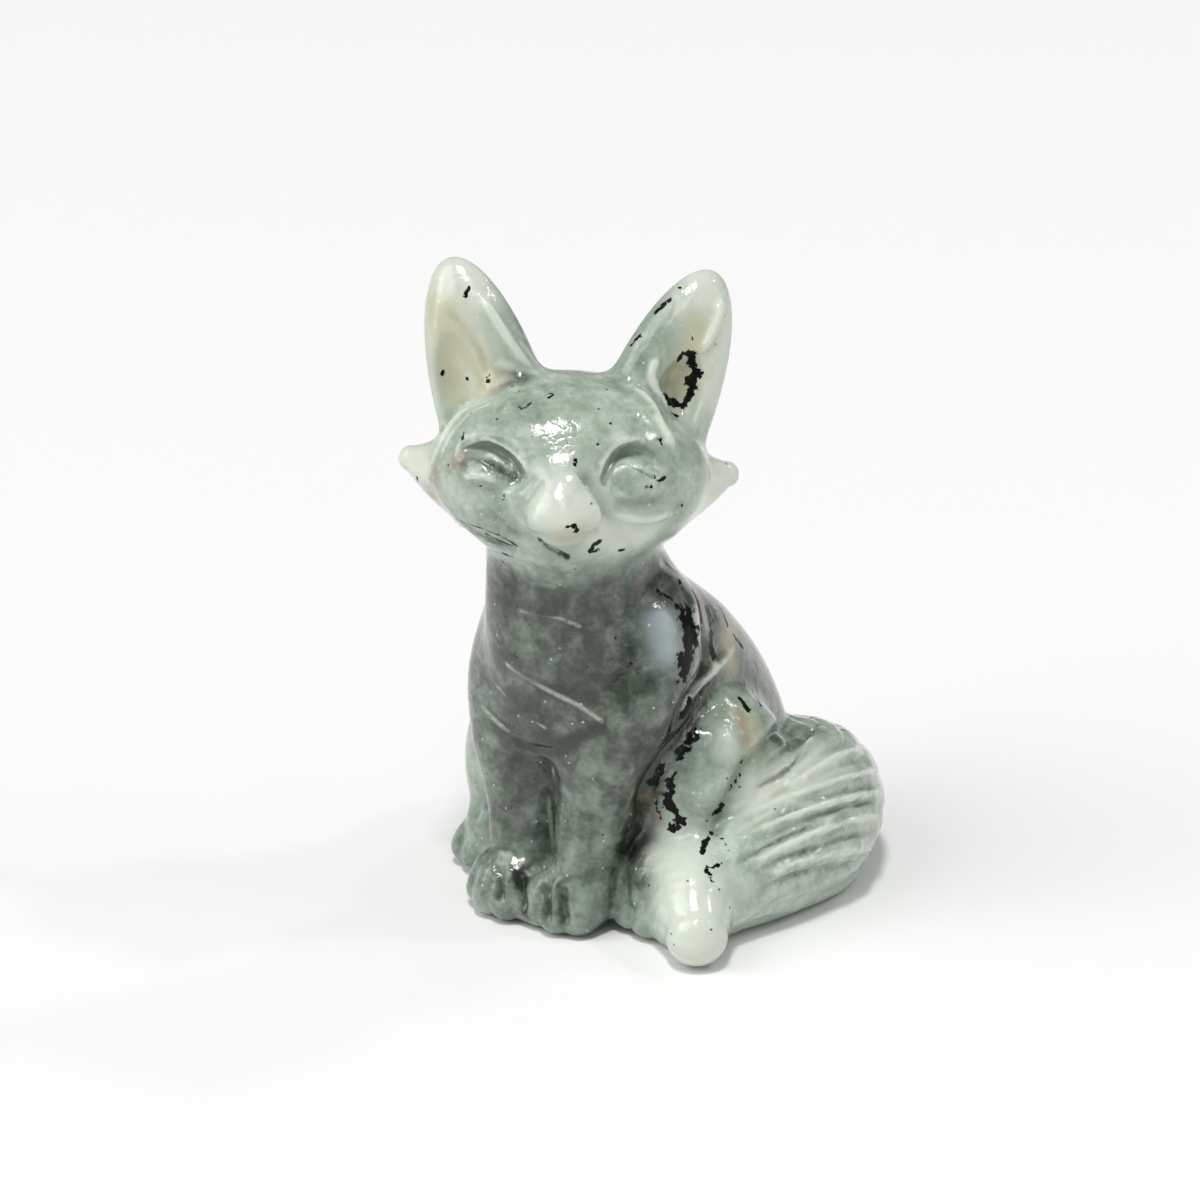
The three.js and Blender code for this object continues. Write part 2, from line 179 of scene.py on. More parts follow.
@dataclass(frozen=True)
class Placement:
    """A frame of its own inside the carving's frame, turned by yaw, pitch and roll in degrees."""

    centre: Triple
    turn: Triple = (0.0, 0.0, 0.0)

    def axes(self) -> np.ndarray:
        """Returns the frame's axes as the columns of a matrix."""
        yaw, pitch, roll = (math.radians(angle) for angle in self.turn)
        return np.array(Euler((pitch, roll, yaw), "YXZ").to_matrix(), np.float32)

    def inwards(self, points: np.ndarray) -> np.ndarray:
        """Returns the points as this frame sees them."""
        return (points - np.float32(self.centre)) @ self.axes()


class Solid:
    """A volume, given by the distance from its surface, which is negative inside."""

    def distance(self, points: np.ndarray) -> np.ndarray:
        """Returns how far each point, a row, is from the surface."""
        raise NotImplementedError


@dataclass(frozen=True)
class Ellipsoid(Solid):
    """A rounded lump of stone, or the tool that grinds a hollow of that shape."""

    centre: Triple
    radii: Triple
    turn: Triple = (0.0, 0.0, 0.0)

    def distance(self, points: np.ndarray) -> np.ndarray:
        """Returns the distances from the ellipsoid."""
        q = Placement(self.centre, self.turn).inwards(points)
        radii = np.float32(self.radii)
        near = np.linalg.norm(q / radii, axis=-1)
        steep = np.linalg.norm(q / radii**2, axis=-1)
        return near * (near - 1.0) / np.maximum(steep, TINY)


@dataclass(frozen=True)
class Bar(Solid):
    """A round bar along a smooth line of stations, each a place and a radius."""

    stations: Sequence[tuple[float, float, float, float]]
    steps: int = 5
    reach: float = 4.0

    def line(self) -> np.ndarray:
        """Returns the stations of the smooth line."""
        return smooth_line(self.stations, self.steps)

    def measure(self, points: np.ndarray) -> tuple[np.ndarray, np.ndarray]:
        """Finds the nearest place of the bar for each point.

        Args:
            points: One row for each point.

        Returns:
            The distances, and where the nearest places lie as numbers of steps along the
            line. Past the reach the distance is only that from the bar's box.
        """
        line = self.line()
        lowest = (line[:, :3] - line[:, 3:]).min(0)
        highest = (line[:, :3] + line[:, 3:]).max(0)
        gap = np.linalg.norm(points - np.clip(points, lowest, highest), axis=-1)
        near = gap < self.reach
        p = points[near]
        best = np.full(len(p), np.inf, np.float32)
        place = np.zeros(len(p), np.float32)
        for i, (start, end) in enumerate(zip(line[:-1, :3], line[1:, :3])):
            share, way = nearest_on(p, start, end)
            square = (way**2).sum(-1)
            closer = square < best
            best = np.where(closer, square, best)
            place = np.where(closer, i + share, place)
        radius = np.interp(place, np.arange(len(line)), line[:, 3])
        distances = gap.astype(np.float32)
        distances[near] = np.sqrt(best) - radius
        places = np.zeros(len(points), np.float32)
        places[near] = place
        return distances, places

    def distance(self, points: np.ndarray) -> np.ndarray:
        """Returns the distances from the bar."""
        return self.measure(points)[0]


@dataclass(frozen=True)
class Torso(Solid):
    """The trunk, as sections at equal steps of height: half width, breast line, back line."""

    lowest: float = -2.0
    step: float = 6.0
    spans: int = 20
    squareness: float = 2.2
    slope: float = 0.85
    top: float = 35.0
    top_edge: float = 1.0
    sections: Sequence[Triple] = (
        (8.6, -9.0, 13.6),
        (9.8, -9.3, 15.7),
        (9.9, -9.2, 15.8),
        (9.1, -12.7, 13.5),
        (8.4, -14.1, 8.5),
        (7.1, -14.2, 1.4),
        (6.4, -13.7, -1.8),
        (6.0, -12.5, -2.0),
    )

    def distance(self, points: np.ndarray) -> np.ndarray:
        """Returns the distances from the trunk."""
        rows = smooth_line(self.sections, self.spans)
        heights = self.lowest + self.step / self.spans * np.arange(len(rows))
        width, front, back = (np.interp(points[:, 2], heights, row) for row in rows.T)
        depth = (back - front) / 2
        across = np.abs(points[:, 0]) / width
        along = np.abs(points[:, 1] - (front + back) / 2) / depth
        n = self.squareness
        near = (across**n + along**n) ** (1 / n)
        steep = np.hypot(across / width, along / depth) / np.maximum(near, TINY)
        side = (near - 1) / np.maximum(steep, TINY) * self.slope
        return cut(side, self.top - points[:, 2], self.top_edge)


@dataclass(frozen=True)
class Paw(Solid):
    """A rounded pad with toes spread round it like a fan.

    The knuckle's rows are shares of a toe's reach, of the knuckle's height and of the radius.
    """

    x: float
    y: float
    heading: float
    pad: Triple = (2.6, 2.9, 2.8)
    pad_height: float = 2.6
    spread: float = 33.0
    reach: float = 3.0
    toe_radius: float = 1.55
    knuckle_height: float = 4.0
    knuckle: Sequence[Triple] = ((0.3, 1.0, 0.9), (0.8, 0.8, 1.0))
    toe_height: float = 1.6
    toes: int = 4
    toe_blend: float = 0.2
    pad_blend: float = 0.35
    blend: float = 0.8

    def toe(self, number: int) -> Bar:
        """Returns a toe, which runs out from the pad and down over its knuckle."""
        angle = math.radians(self.spread * (number - (self.toes - 1) / 2))
        x, y = self.reach * math.sin(angle), -self.reach * math.cos(angle)
        radius, height = self.toe_radius, self.knuckle_height
        bent = [(out * x, out * y, up * height, size * radius) for out, up, size in self.knuckle]
        return Bar([*bent, (x, y, self.toe_height, radius)], 2)

    def distance(self, points: np.ndarray) -> np.ndarray:
        """Returns the distances from the paw."""
        q = Placement((self.x, self.y, 0.0), (self.heading, 0.0, 0.0)).inwards(points)
        fan = self.toe(0).distance(q)
        for number in range(1, self.toes):
            fan = join(fan, self.toe(number).distance(q), self.toe_blend)
        pad = Ellipsoid((0.0, 0.0, self.pad_height), self.pad).distance(q)
        return join(pad, fan, self.pad_blend)


@dataclass(frozen=True)
class Legs(Solid):
    """Front legs, haunches and the four paws."""

    front_leg: Bar = Bar([
        (5.0, -4.8, 24.0, 4.5),
        (4.9, -6.9, 18.8, 5.0),
        (4.5, -8.3, 14.0, 4.3),
        (3.6, -9.4, 9.0, 3.1),
        (3.4, -10.0, 5.0, 2.7),
        (3.4, -10.6, 2.6, 2.8),
    ], 6)
    front_paws: Sequence[Paw] = (Paw(-2.9, -10.7, 0.0), Paw(2.2, -10.0, -8.0))
    hind_pad: Triple = (3.2, 4.4, 4.1)
    thighs: Sequence[Ellipsoid] = (
        Ellipsoid((-9.7, 0.6, 8.4), (5.0, 8.9, 9.0), (4.0, 0.0, -4.0)),
        Ellipsoid((8.6, 0.4, 8.9), (5.2, 7.4, 8.8), (-8.0, 0.0, 2.0)),
    )
    leg_blend: float = 1.8
    thigh_blend: float = 1.4

    def hind_paws(self) -> list[Paw]:
        """Returns the two hind paws, which look out from under the haunches."""
        sizes = dict(
            pad=self.hind_pad, pad_height=3.5, spread=30.0, reach=3.5, toe_radius=1.45,
            knuckle_height=3.4, blend=0.7,
        )
        return [Paw(-9.1, -4.8, 6.0, **sizes), Paw(8.2, -5.6, -6.0, **sizes)]

    def onto(self, trunk: np.ndarray, points: np.ndarray) -> np.ndarray:
        """Joins the legs to the trunk.

        Args:
            trunk: Distances from the trunk.
            points: Where they were measured.

        Returns:
            Distances from the trunk with its legs.
        """
        d = join(trunk, self.front_leg.distance(mirror(points)), self.leg_blend)
        for paw in self.front_paws:
            d = join(d, paw.distance(points), paw.blend)
        thighs = [thigh.distance(points) for thigh in self.thighs]
        d = join(d, np.minimum(*thighs), self.thigh_blend)
        for paw in self.hind_paws():
            d = join(d, paw.distance(points), paw.blend)
        return d


@dataclass(frozen=True)
class Tail(Solid):
    """A full brush round the fox's left side, combed in strands, over a lock on the floor.

    The strands wander by waves, each with its swing and its turns along and round the tail.
    """

    brush: Bar = Bar([
        (0.5, 13.0, 5.2, 3.4),
        (5.0, 13.8, 5.3, 4.9),
        (9.7, 11.6, 5.4, 6.2),
        (12.4, 6.8, 5.4, 6.2),
        (12.7, 1.0, 5.1, 5.6),
        (12.3, -4.2, 4.5, 4.5),
        (12.8, -7.9, 3.7, 3.6),
        (14.8, -10.5, 2.6, 2.5),
    ])
    low_lock: Bar = Bar([
        (9.5, 13.4, 2.3, 3.6),
        (14.0, 8.0, 2.2, 3.3),
        (13.8, 1.5, 2.2, 3.0),
        (12.4, -4.5, 2.1, 2.7),
        (12.8, -8.2, 2.0, 2.4),
    ])
    strands: float = 10.0
    strand_depth: float = 0.2
    strand_middle: float = 0.6
    waves: Sequence[Triple] = ((1.1, 9.0, 2.0), (0.6, 21.0, 5.0))
    combed: tuple[float, float] = (0.1, 0.86)
    comb_fade: float = 6.0
    seam: float = 2.75
    seam_fade: float = 3.0
    skin: float = 1.5
    lock_blend: float = 0.5

    def distance(self, points: np.ndarray) -> np.ndarray:
        """Returns the distances from the tail."""
        line = self.brush.line()[:, :3]
        heading = np.gradient(line, axis=0)
        heading /= np.linalg.norm(heading, axis=1)[:, None]
        d, place = self.brush.measure(points)
        steps = np.arange(len(line))
        x, y, z = (np.interp(place, steps, column) for column in line.T)
        along_x, along_y = (np.interp(place, steps, column) for column in heading.T[:2])
        outwards = (points[:, 1] - y) * along_x - (points[:, 0] - x) * along_y
        angle = np.arctan2(points[:, 2] - z, outwards)
        share = place / (len(line) - 1)
        wander = sum(swing * np.sin(a * share + b * angle) for swing, a, b in self.waves)
        ridge = np.abs(np.sin(self.strands * angle + wander))
        start, end = self.combed
        ease = (
            np.clip((share - start) * self.comb_fade, 0, 1)
            * np.clip((end - share) * self.comb_fade, 0, 1)
            * np.clip((self.seam - np.abs(angle)) * self.seam_fade, 0, 1)
            * np.clip(self.skin - np.abs(d), 0, 1)
        )
        d = d - self.strand_depth * ease * (ridge - self.strand_middle)
        return join(d, self.low_lock.distance(points), self.lock_blend)


@dataclass(frozen=True)
class Ear(Solid):
    """A tall leaf with a hollow ground into its front."""

    base: Triple
    hollow: Ellipsoid
    radii: Triple = (4.5, 2.7, 12.0)
    turn: Triple = (10.0, -6.0, 21.0)
    taper: float = 0.004
    scales: tuple[float, float] = (0.3, 2.0)
    flat: float = 1.9
    edge: float = 0.3

    def distance(self, points: np.ndarray) -> np.ndarray:
        """Returns the distances from the ear."""
        q = Placement(self.base, self.turn).inwards(points)
        scale = np.clip(1 - self.taper * q[:, 2], *self.scales)
        narrowed = q.copy()
        narrowed[:, :2] /= scale[:, None]
        leaf = Ellipsoid((0.0, 0.0, 0.0), self.radii).distance(narrowed)
        leaf = cut(leaf * np.minimum(scale, 1.0), q[:, 1] + self.flat, self.edge)
        return cut(leaf, self.hollow.distance(q), self.edge)


@dataclass(frozen=True)
class FaceSide:
    """Half of the face: its ear, eye socket and closed lid."""

    ear: Ear
    socket: Ellipsoid
    lid: Ellipsoid
    tuft_blend: float
    socket_edge: float = 0.25
    lid_blend: float = 0.4
    ear_blend: float = 1.5


@dataclass(frozen=True)
class Head(Solid):
    """The head, in a frame of its own that is turned to the fox's left and tipped a little."""

    place: Placement = Placement((0.0, -8.0, 37.6), (38.0, -10.0, 3.0))
    lowest: float = 25.0
    skull: Ellipsoid = Ellipsoid((0.0, 1.2, 0.8), (8.8, 7.2, 6.6))
    face: Ellipsoid = Ellipsoid((0.0, -1.8, -0.8), (10.7, 6.0, 7.3))
    face_blend: float = 1.2
    taper_level: float = -1.0
    taper_slope: float = 0.025
    taper_bend: float = 0.002
    scales: tuple[float, float] = (0.4, 1.2)
    muzzle: Ellipsoid = Ellipsoid((-0.2, -7.2, -1.0), (3.6, 4.3, 2.3), (0.0, 42.0, 0.0))
    muzzle_blend: float = 1.3
    chin: Bar = Bar([(0.0, -4.0, -4.4, 3.4), (-0.2, -6.0, -4.0, 2.8)], 2)
    chin_blend: float = 2.4
    tuft: Bar = Bar([(7.4, 0.6, -1.0, 4.3), (10.0, 1.5, -0.8, 2.6), (12.4, 2.4, -0.35, 1.05)], 8)
    right: FaceSide = FaceSide(
        Ear((6.2, 1.4, 4.3), Ellipsoid((1.9, -2.8, 1.6), (2.4, 2.2, 5.6), (0.0, 0.0, -4.0))),
        Ellipsoid((6.3, -7.7, 1.5), (3.7, 2.7, 2.3), (24.0, -20.0, -16.0)),
        Ellipsoid((6.0, -5.0, 0.4), (2.9, 2.0, 1.5), (20.0, 0.0, -14.0)),
        0.5,
    )
    left: FaceSide = FaceSide(
        Ear((6.5, 1.4, 4.3), Ellipsoid((0.9, -3.0, 1.9), (2.1, 2.5, 4.0), (0.0, 0.0, -6.0))),
        Ellipsoid((5.2, -8.0, 1.8), (3.3, 2.8, 2.5), (12.0, -20.0, 6.0)),
        Ellipsoid((5.4, -5.2, 0.3), (2.7, 1.9, 1.7), (14.0, 0.0, 12.0)),
        1.4,
    )

    def front(self, q: np.ndarray) -> np.ndarray:
        """Returns the distances from skull, face, muzzle and chin, in the head's frame."""
        rise = q[:, 2] - self.taper_level
        scale = 1 + self.taper_slope * rise - self.taper_bend * rise**2
        scale = np.clip(scale, *self.scales)
        tapered = q.copy()
        tapered[:, 0] /= scale
        face = self.face.distance(tapered) * np.minimum(scale, 1.0)
        d = join(self.skull.distance(q), face, self.face_blend)
        d = join(d, self.chin.distance(q), self.chin_blend)
        return join(d, self.muzzle.distance(q), self.muzzle_blend)

    def distance(self, points: np.ndarray) -> np.ndarray:
        """Returns the distances from the head."""
        q = self.place.inwards(points)
        front = self.front(q)
        d = np.empty_like(front)
        for side, chosen in ((self.right, q[:, 0] < 0), (self.left, q[:, 0] >= 0)):
            half = mirror(q[chosen])
            e = join(front[chosen], self.tuft.distance(half), side.tuft_blend)
            e = cut(e, side.socket.distance(half), side.socket_edge)
            e = join(e, side.lid.distance(half), side.lid_blend)
            d[chosen] = join(e, side.ear.distance(half), side.ear_blend)
        return d


@dataclass(frozen=True)
class Fox(Solid):
    """The whole animal, ground flat underneath."""

    torso: Torso = Torso()
    legs: Legs = Legs()
    tail: Tail = Tail()
    head: Head = Head()
    tail_blend: float = 0.9
    tip_blend: float = 2.6
    tip_stretch: tuple[float, float] = (-9.0, -3.0)
    neck_blend: float = 1.3
    foot_edge: float = 0.5

    def parts(self, points: np.ndarray) -> dict[str, np.ndarray]:
        """Returns the distances from each volume that has a tone of its own."""
        q = self.head.place.inwards(points)
        paws = [paw.distance(points) for paw in (*self.legs.front_paws, *self.legs.hind_paws())]
        return {
            "torso": self.torso.distance(points),
            "legs": self.legs.front_leg.distance(mirror(points)),
            "paws": np.min(paws, axis=0),
            "thighs": np.minimum(*(thigh.distance(points) for thigh in self.legs.thighs)),
            "tail": self.tail.distance(points),
            "face": self.head.front(q),
            "ears": self.head.left.ear.distance(mirror(q)),
            "tufts": self.head.tuft.distance(mirror(q)),
        }

    def distance(self, points: np.ndarray) -> np.ndarray:
        """Returns the distances from the carving."""
        d = self.legs.onto(self.torso.distance(points), points)
        melt = np.interp(points[:, 1], self.tip_stretch, (self.tip_blend, self.tail_blend))
        d = join(d, self.tail.distance(points), melt)
        high = points[:, 2] > self.head.lowest
        head = self.head.distance(points[high])
        d[high] = join(d[high], head, self.neck_blend)
        return cut(d, points[:, 2], self.foot_edge)


# The steps of a grid cell's corner along X, Y and Z are the bits of its number, and a number
# with one bit for each corner says which corners are inside the stone.
CORNERS = range(8)
ALL_INSIDE = 2 ** len(CORNERS) - 1


def corner_step(corner: int, axis: int) -> int:
    """Returns 1 if the corner is on the far side of the cell along the axis, else 0."""
    return (corner >> axis) & 1


class SurfaceNet:
    """The surface of a solid as quads, worked out near the surface only.

    Each cell of the grid gets one vertex for each sheet of the surface that goes through it,
    and each grid edge that the surface crosses gets one quad, so the net is always closed.
    """

    STRIDE = 4
    BATCH = 400_000
    # A coarse node counts as near the surface within this many coarse steps of it.
    BAND = 1.8
    PROBE = 0.02
    LEAST_SLOPE_SQUARE = 0.3
    LONGEST_SLIDE = 0.25
    SLIDES = 2
    EDGES = [
        (corner, corner | 1 << axis)
        for axis in range(3)
        for corner in CORNERS
        if not corner_step(corner, axis)
    ]

    def __init__(self, solid: Solid, levels: Sequence[np.ndarray]) -> None:
        """Samples the solid.

        Args:
            solid: The volume.
            levels: The grid's places along X, Y and Z, a multiple of STRIDE and one more.
        """
        self.solid = solid
        self.levels = levels
        self.values = self.sample()
        self.inside = self.values < 0
        self.sheets = self.sheet_table()

    def places(self, indices: np.ndarray) -> np.ndarray:
        """Returns the places of grid nodes."""
        return np.stack([level[i] for level, i in zip(self.levels, indices.T)], -1)

    def measure(self, points: np.ndarray) -> np.ndarray:
        """Returns the distances, taken in batches to spare memory."""
        parts = np.array_split(points.astype(np.float32), max(1, len(points) // self.BATCH))
        return np.concatenate([self.solid.distance(part) for part in parts])

    def sample(self) -> np.ndarray:
        """Returns the distances at the fine grid's nodes where the surface can be, else ±1."""
        coarse_levels = [level[:: self.STRIDE] for level in self.levels]
        span = max(np.diff(level).max() for level in coarse_levels)
        nodes = np.stack(np.meshgrid(*coarse_levels, indexing="ij"), -1)
        coarse = self.measure(nodes.reshape(-1, 3)).reshape(nodes.shape[:3])
        near = np.abs(coarse) < self.BAND * span
        cells = [count - 1 for count in coarse.shape]
        wanted = np.zeros(cells, bool)
        for corner in CORNERS:
            wanted |= near[self.window(corner, cells)]
        fine = [count * self.STRIDE + 1 for count in cells]
        values = np.ones(fine, np.float32)
        chosen = np.zeros(fine, bool)
        body = tuple(slice(0, count - 1) for count in fine)
        values[body] = self.spread(np.where(coarse[:-1, :-1, :-1] < 0, -1.0, 1.0))
        blocks = self.spread(wanted)
        for corner in CORNERS:
            chosen[self.window(corner, blocks.shape)] |= blocks
        values[chosen] = self.measure(self.places(np.argwhere(chosen)))
        return values

    def spread(self, cells: np.ndarray) -> np.ndarray:
        """Returns coarse cells repeated over the fine ones inside them."""
        for axis in range(3):
            cells = np.repeat(cells, self.STRIDE, axis)
        return cells

    @staticmethod
    def window(corner: int, cells: Sequence[int]) -> tuple[slice, ...]:
        """Returns the slices of a grid that hold that corner of every cell."""
        steps = [corner_step(corner, axis) for axis in range(3)]
        return tuple(slice(step, step + count) for step, count in zip(steps, cells))

    def sheet_table(self) -> np.ndarray:
        """Sorts the crossed edges of a cell into sheets, for each way its corners can lie.

        Returns:
            One row for each pattern of corners inside the stone, with the number of the
            sheet that each edge belongs to, or -1 for an edge that isn't crossed.
        """
        table = np.full((ALL_INSIDE + 1, len(self.EDGES)), -1, np.int8)
        for pattern in range(len(table)):
            groups: list[set[int]] = []
            for axis in range(3):
                for far in (0, 1):
                    self.join_edges(groups, pattern, axis, far)
            for number, group in enumerate(groups):
                table[pattern, list(group)] = number
        return table

    def join_edges(self, groups: list[set[int]], pattern: int, axis: int, far: int) -> None:
        """Joins, round one side of a cell, each edge into the stone with the edge out of it.

        Args:
            groups: The sheets so far, which are added to.
            pattern: The corners inside the stone, one bit each.
            axis: The axis that the side faces.
            far: 1 for the side further along that axis.
        """
        u, w = 1 << (axis + 1) % 3, 1 << (axis + 2) % 3
        start = far << axis
        ring = [start, start | u, start | u | w, start | w]
        inside = [bool(pattern >> corner & 1) for corner in ring]
        for i in range(4):
            if inside[i] or not inside[(i + 1) % 4]:
                continue
            end = i + 1
            while inside[(end + 1) % 4]:
                end += 1
            pairs = ((ring[i], ring[(i + 1) % 4]), (ring[end % 4], ring[(end + 1) % 4]))
            sheet = {self.EDGES.index(tuple(sorted(pair))) for pair in pairs}
            for group in [group for group in groups if group & sheet]:
                sheet |= group
                groups.remove(group)
            groups.append(sheet)

    def build(self) -> tuple[np.ndarray, np.ndarray]:
        """Builds the net.

        Returns:
            The vertices, slid onto the surface, and the quads, wound to face out.
        """
        cells = [count - 1 for count in self.values.shape]
        pattern = np.zeros(cells, np.uint8)
        for corner in CORNERS:
            pattern |= self.inside[self.window(corner, cells)].astype(np.uint8) << corner
        active = (pattern > 0) & (pattern < ALL_INSIDE)
        where = np.argwhere(active)
        sheets = self.sheets[pattern[active]]
        counts = sheets.max(1).astype(int) + 1
        starts = np.cumsum(counts) - counts
        sums = np.zeros((counts.sum(), 3))
        crossings = np.zeros(len(sums))
        corners = np.array([[corner_step(c, axis) for axis in range(3)] for c in CORNERS])
        for number, (a, b) in enumerate(self.EDGES):
            crossed = sheets[:, number] >= 0
            near, far = where[crossed] + corners[a], where[crossed] + corners[b]
            at_near, at_far = self.values[tuple(near.T)], self.values[tuple(far.T)]
            share = (at_near / (at_near - at_far))[:, None]
            places = self.places(near) * (1 - share) + self.places(far) * share
            vertex = starts[crossed] + sheets[crossed, number]
            np.add.at(sums, vertex, places)
            np.add.at(crossings, vertex, 1)
        first = np.full(cells, -1, np.int64)
        first[active] = starts
        quads = [self.quads(axis, first, pattern) for axis in range(3)]
        return self.settle(sums / crossings[:, None]), np.vstack(quads)

    def quads(self, axis: int, first: np.ndarray, pattern: np.ndarray) -> np.ndarray:
        """Builds the quads round the grid edges that lie along an axis.

        Args:
            axis: The axis.
            first: The number of each cell's first vertex.
            pattern: Each cell's corners inside the stone.

        Returns:
            The quads as rows of four vertex numbers.
        """
        u, w = (axis + 1) % 3, (axis + 2) % 3
        here = [slice(1, -1)] * 3
        ahead = [slice(1, -1)] * 3
        here[axis], ahead[axis] = slice(0, -1), slice(1, None)
        near, far = self.inside[tuple(here)], self.inside[tuple(ahead)]
        quads = []
        for leaving, mask in ((True, near & ~far), (False, ~near & far)):
            edges = np.argwhere(mask)
            edges[:, [u, w]] += 1
            ring = []
            for back_u, back_w in ((1, 1), (0, 1), (0, 0), (1, 0)):
                cell = edges.copy()
                cell[:, u] -= back_u
                cell[:, w] -= back_w
                corner = back_u << u | back_w << w
                edge = self.EDGES.index((corner, corner | 1 << axis))
                place = tuple(cell.T)
                ring.append(first[place] + self.sheets[pattern[place], edge])
            quad = np.stack(ring, 1)
            quads.append(quad if leaving else quad[:, ::-1])
        return np.vstack(quads)

    def settle(self, vertices: np.ndarray) -> np.ndarray:
        """Slides vertices onto the surface by short steps along the field's slope.

        Args:
            vertices: Places near the surface.

        Returns:
            The places on it, with those on the floor left on the floor.
        """
        longest = self.LONGEST_SLIDE * min(np.diff(level).min() for level in self.levels)
        floor = np.abs(vertices[:, 2]) < self.PROBE
        for _ in range(self.SLIDES):
            slope = np.empty_like(vertices)
            for axis in range(3):
                probe = self.PROBE * np.eye(3)[axis]
                rise = self.measure(vertices + probe) - self.measure(vertices - probe)
                slope[:, axis] = rise / (2 * self.PROBE)
            square = np.maximum((slope**2).sum(1), self.LEAST_SLOPE_SQUARE)
            move = -slope * (self.measure(vertices) / square)[:, None]
            length = np.linalg.norm(move, axis=1, keepdims=True)
            vertices = vertices + move * np.minimum(1.0, longest / np.maximum(length, TINY))
        vertices[floor, 2] = 0.0
        return vertices


def grid_levels(stretches: Iterable[Triple]) -> np.ndarray:
    """Lays out the grid's places along one axis.

    Args:
        stretches: Start, end and step of each stretch, one after the other.

    Returns:
        The places, a multiple of the net's stride and one more.
    """
    levels: list[float] = []
    for start, end, step in stretches:
        count = math.ceil((end - start) / step)
        levels += [start + (end - start) * i / count for i in range(count)]
        last, width = end, (end - start) / count
    levels.append(last)
    while (len(levels) - 1) % SurfaceNet.STRIDE:
        levels.append(levels[-1] + width)
    return np.array(levels)


@dataclass(frozen=True)
class PhotoView:
    """The camera of the photograph, in the carving's own frame."""

    azimuth: float = 38.0
    elevation: float = 22.0
    distance: float = 300.0
    focal_pixels: float = 3750.0
    frame_pixels: float = 1200.0
    sensor: float = 36.0
    nearest: float = 10.0
    anchor: Triple = (3.7, -12.0, 0.0)
    anchor_pixel: Pixel = (575.0, 932.0)

    def axes(self) -> tuple[np.ndarray, np.ndarray, np.ndarray]:
        """Returns the directions right, up and back towards the camera."""
        back = out_from(self.azimuth, self.elevation)
        right = out_from(self.azimuth + 90.0, 0.0)
        return right, np.cross(back, right), back

    def aim(self, pixel: Pixel) -> np.ndarray:
        """Returns the direction in which a pixel looks."""
        right, up, back = self.axes()
        half = self.frame_pixels / 2
        across, down = ((value - half) / self.focal_pixels for value in pixel)
        return right * across - up * down - back

    def centre(self) -> np.ndarray:
        """Returns the place of the camera, from which the anchor is seen at its pixel."""
        return np.array(self.anchor) - self.distance * self.aim(self.anchor_pixel)

    def add_camera(self, origin: np.ndarray) -> None:
        """Adds the camera, where the given place of the carving's frame is the scene's origin."""
        data = bpy.data.cameras.new("photo_view")
        data.sensor_width = self.sensor
        data.lens = self.sensor * self.focal_pixels / self.frame_pixels
        data.clip_start = self.nearest * METRES
        camera = add_object("photo_view", data)
        turned = Matrix(np.stack(self.axes(), 1).tolist()).to_4x4()
        place = Vector((self.centre() - origin) * METRES)
        camera.matrix_world = Matrix.Translation(place) @ turned
        bpy.context.scene.camera = camera


class CarvedStone:
    """The fox's surface while it is being carved, in millimetres."""

    WIDTHWISE = ((-17.4, 21.4, 0.3),)
    LENGTHWISE = ((-20.4, 21.0, 0.3),)
    UPWARDS = ((-1.2, 29.0, 0.33), (29.0, 46.0, 0.26), (46.0, 55.0, 0.33))

    def __init__(self, fox: Fox, view: PhotoView) -> None:
        """Grinds the form out of the block.

        Args:
            fox: The animal's volumes.
            view: The camera that marks and lines are placed by.
        """
        axes = (self.WIDTHWISE, self.LENGTHWISE, self.UPWARDS)
        self.view = view
        self.vertices, self.quads = SurfaceNet(fox, [grid_levels(axis) for axis in axes]).build()
        self.eye = Vector(view.centre())
        self.tree = BVHTree.FromPolygons(self.vertices.tolist(), self.quads.tolist())

    def seen_at(self, pixels: Iterable[Pixel]) -> np.ndarray:
        """Finds what pixels of the photograph show.

        Args:
            pixels: The pixels.

        Returns:
            One place on the stone for each pixel, but none for a pixel beside it.
        """
        rays = [Vector(self.view.aim(pixel)).normalized() for pixel in pixels]
        hits = [self.tree.ray_cast(self.eye, ray)[0] for ray in rays]
        return np.array([hit for hit in hits if hit is not None]).reshape(-1, 3)

    def add_to_scene(self, name: str) -> bpy.types.Object:
        """Adds the surface to the scene.

        Args:
            name: The object's name.

        Returns:
            The object, still in millimetres.
        """
        mesh = bpy.data.meshes.new(name)
        mesh.from_pydata(self.vertices.tolist(), [], self.quads.tolist())
        mesh.polygons.foreach_set("use_smooth", [True] * len(mesh.polygons))
        return add_object(name, mesh)


def operator(operation: str) -> Callable[["Value", Any], "Value"]:
    """Returns a method that adds a Math node of the operation."""

    def apply(value: "Value", other: Any) -> "Value":
        """Returns the operation's result for the value and the other."""
        return value.math(operation, other)

    return apply


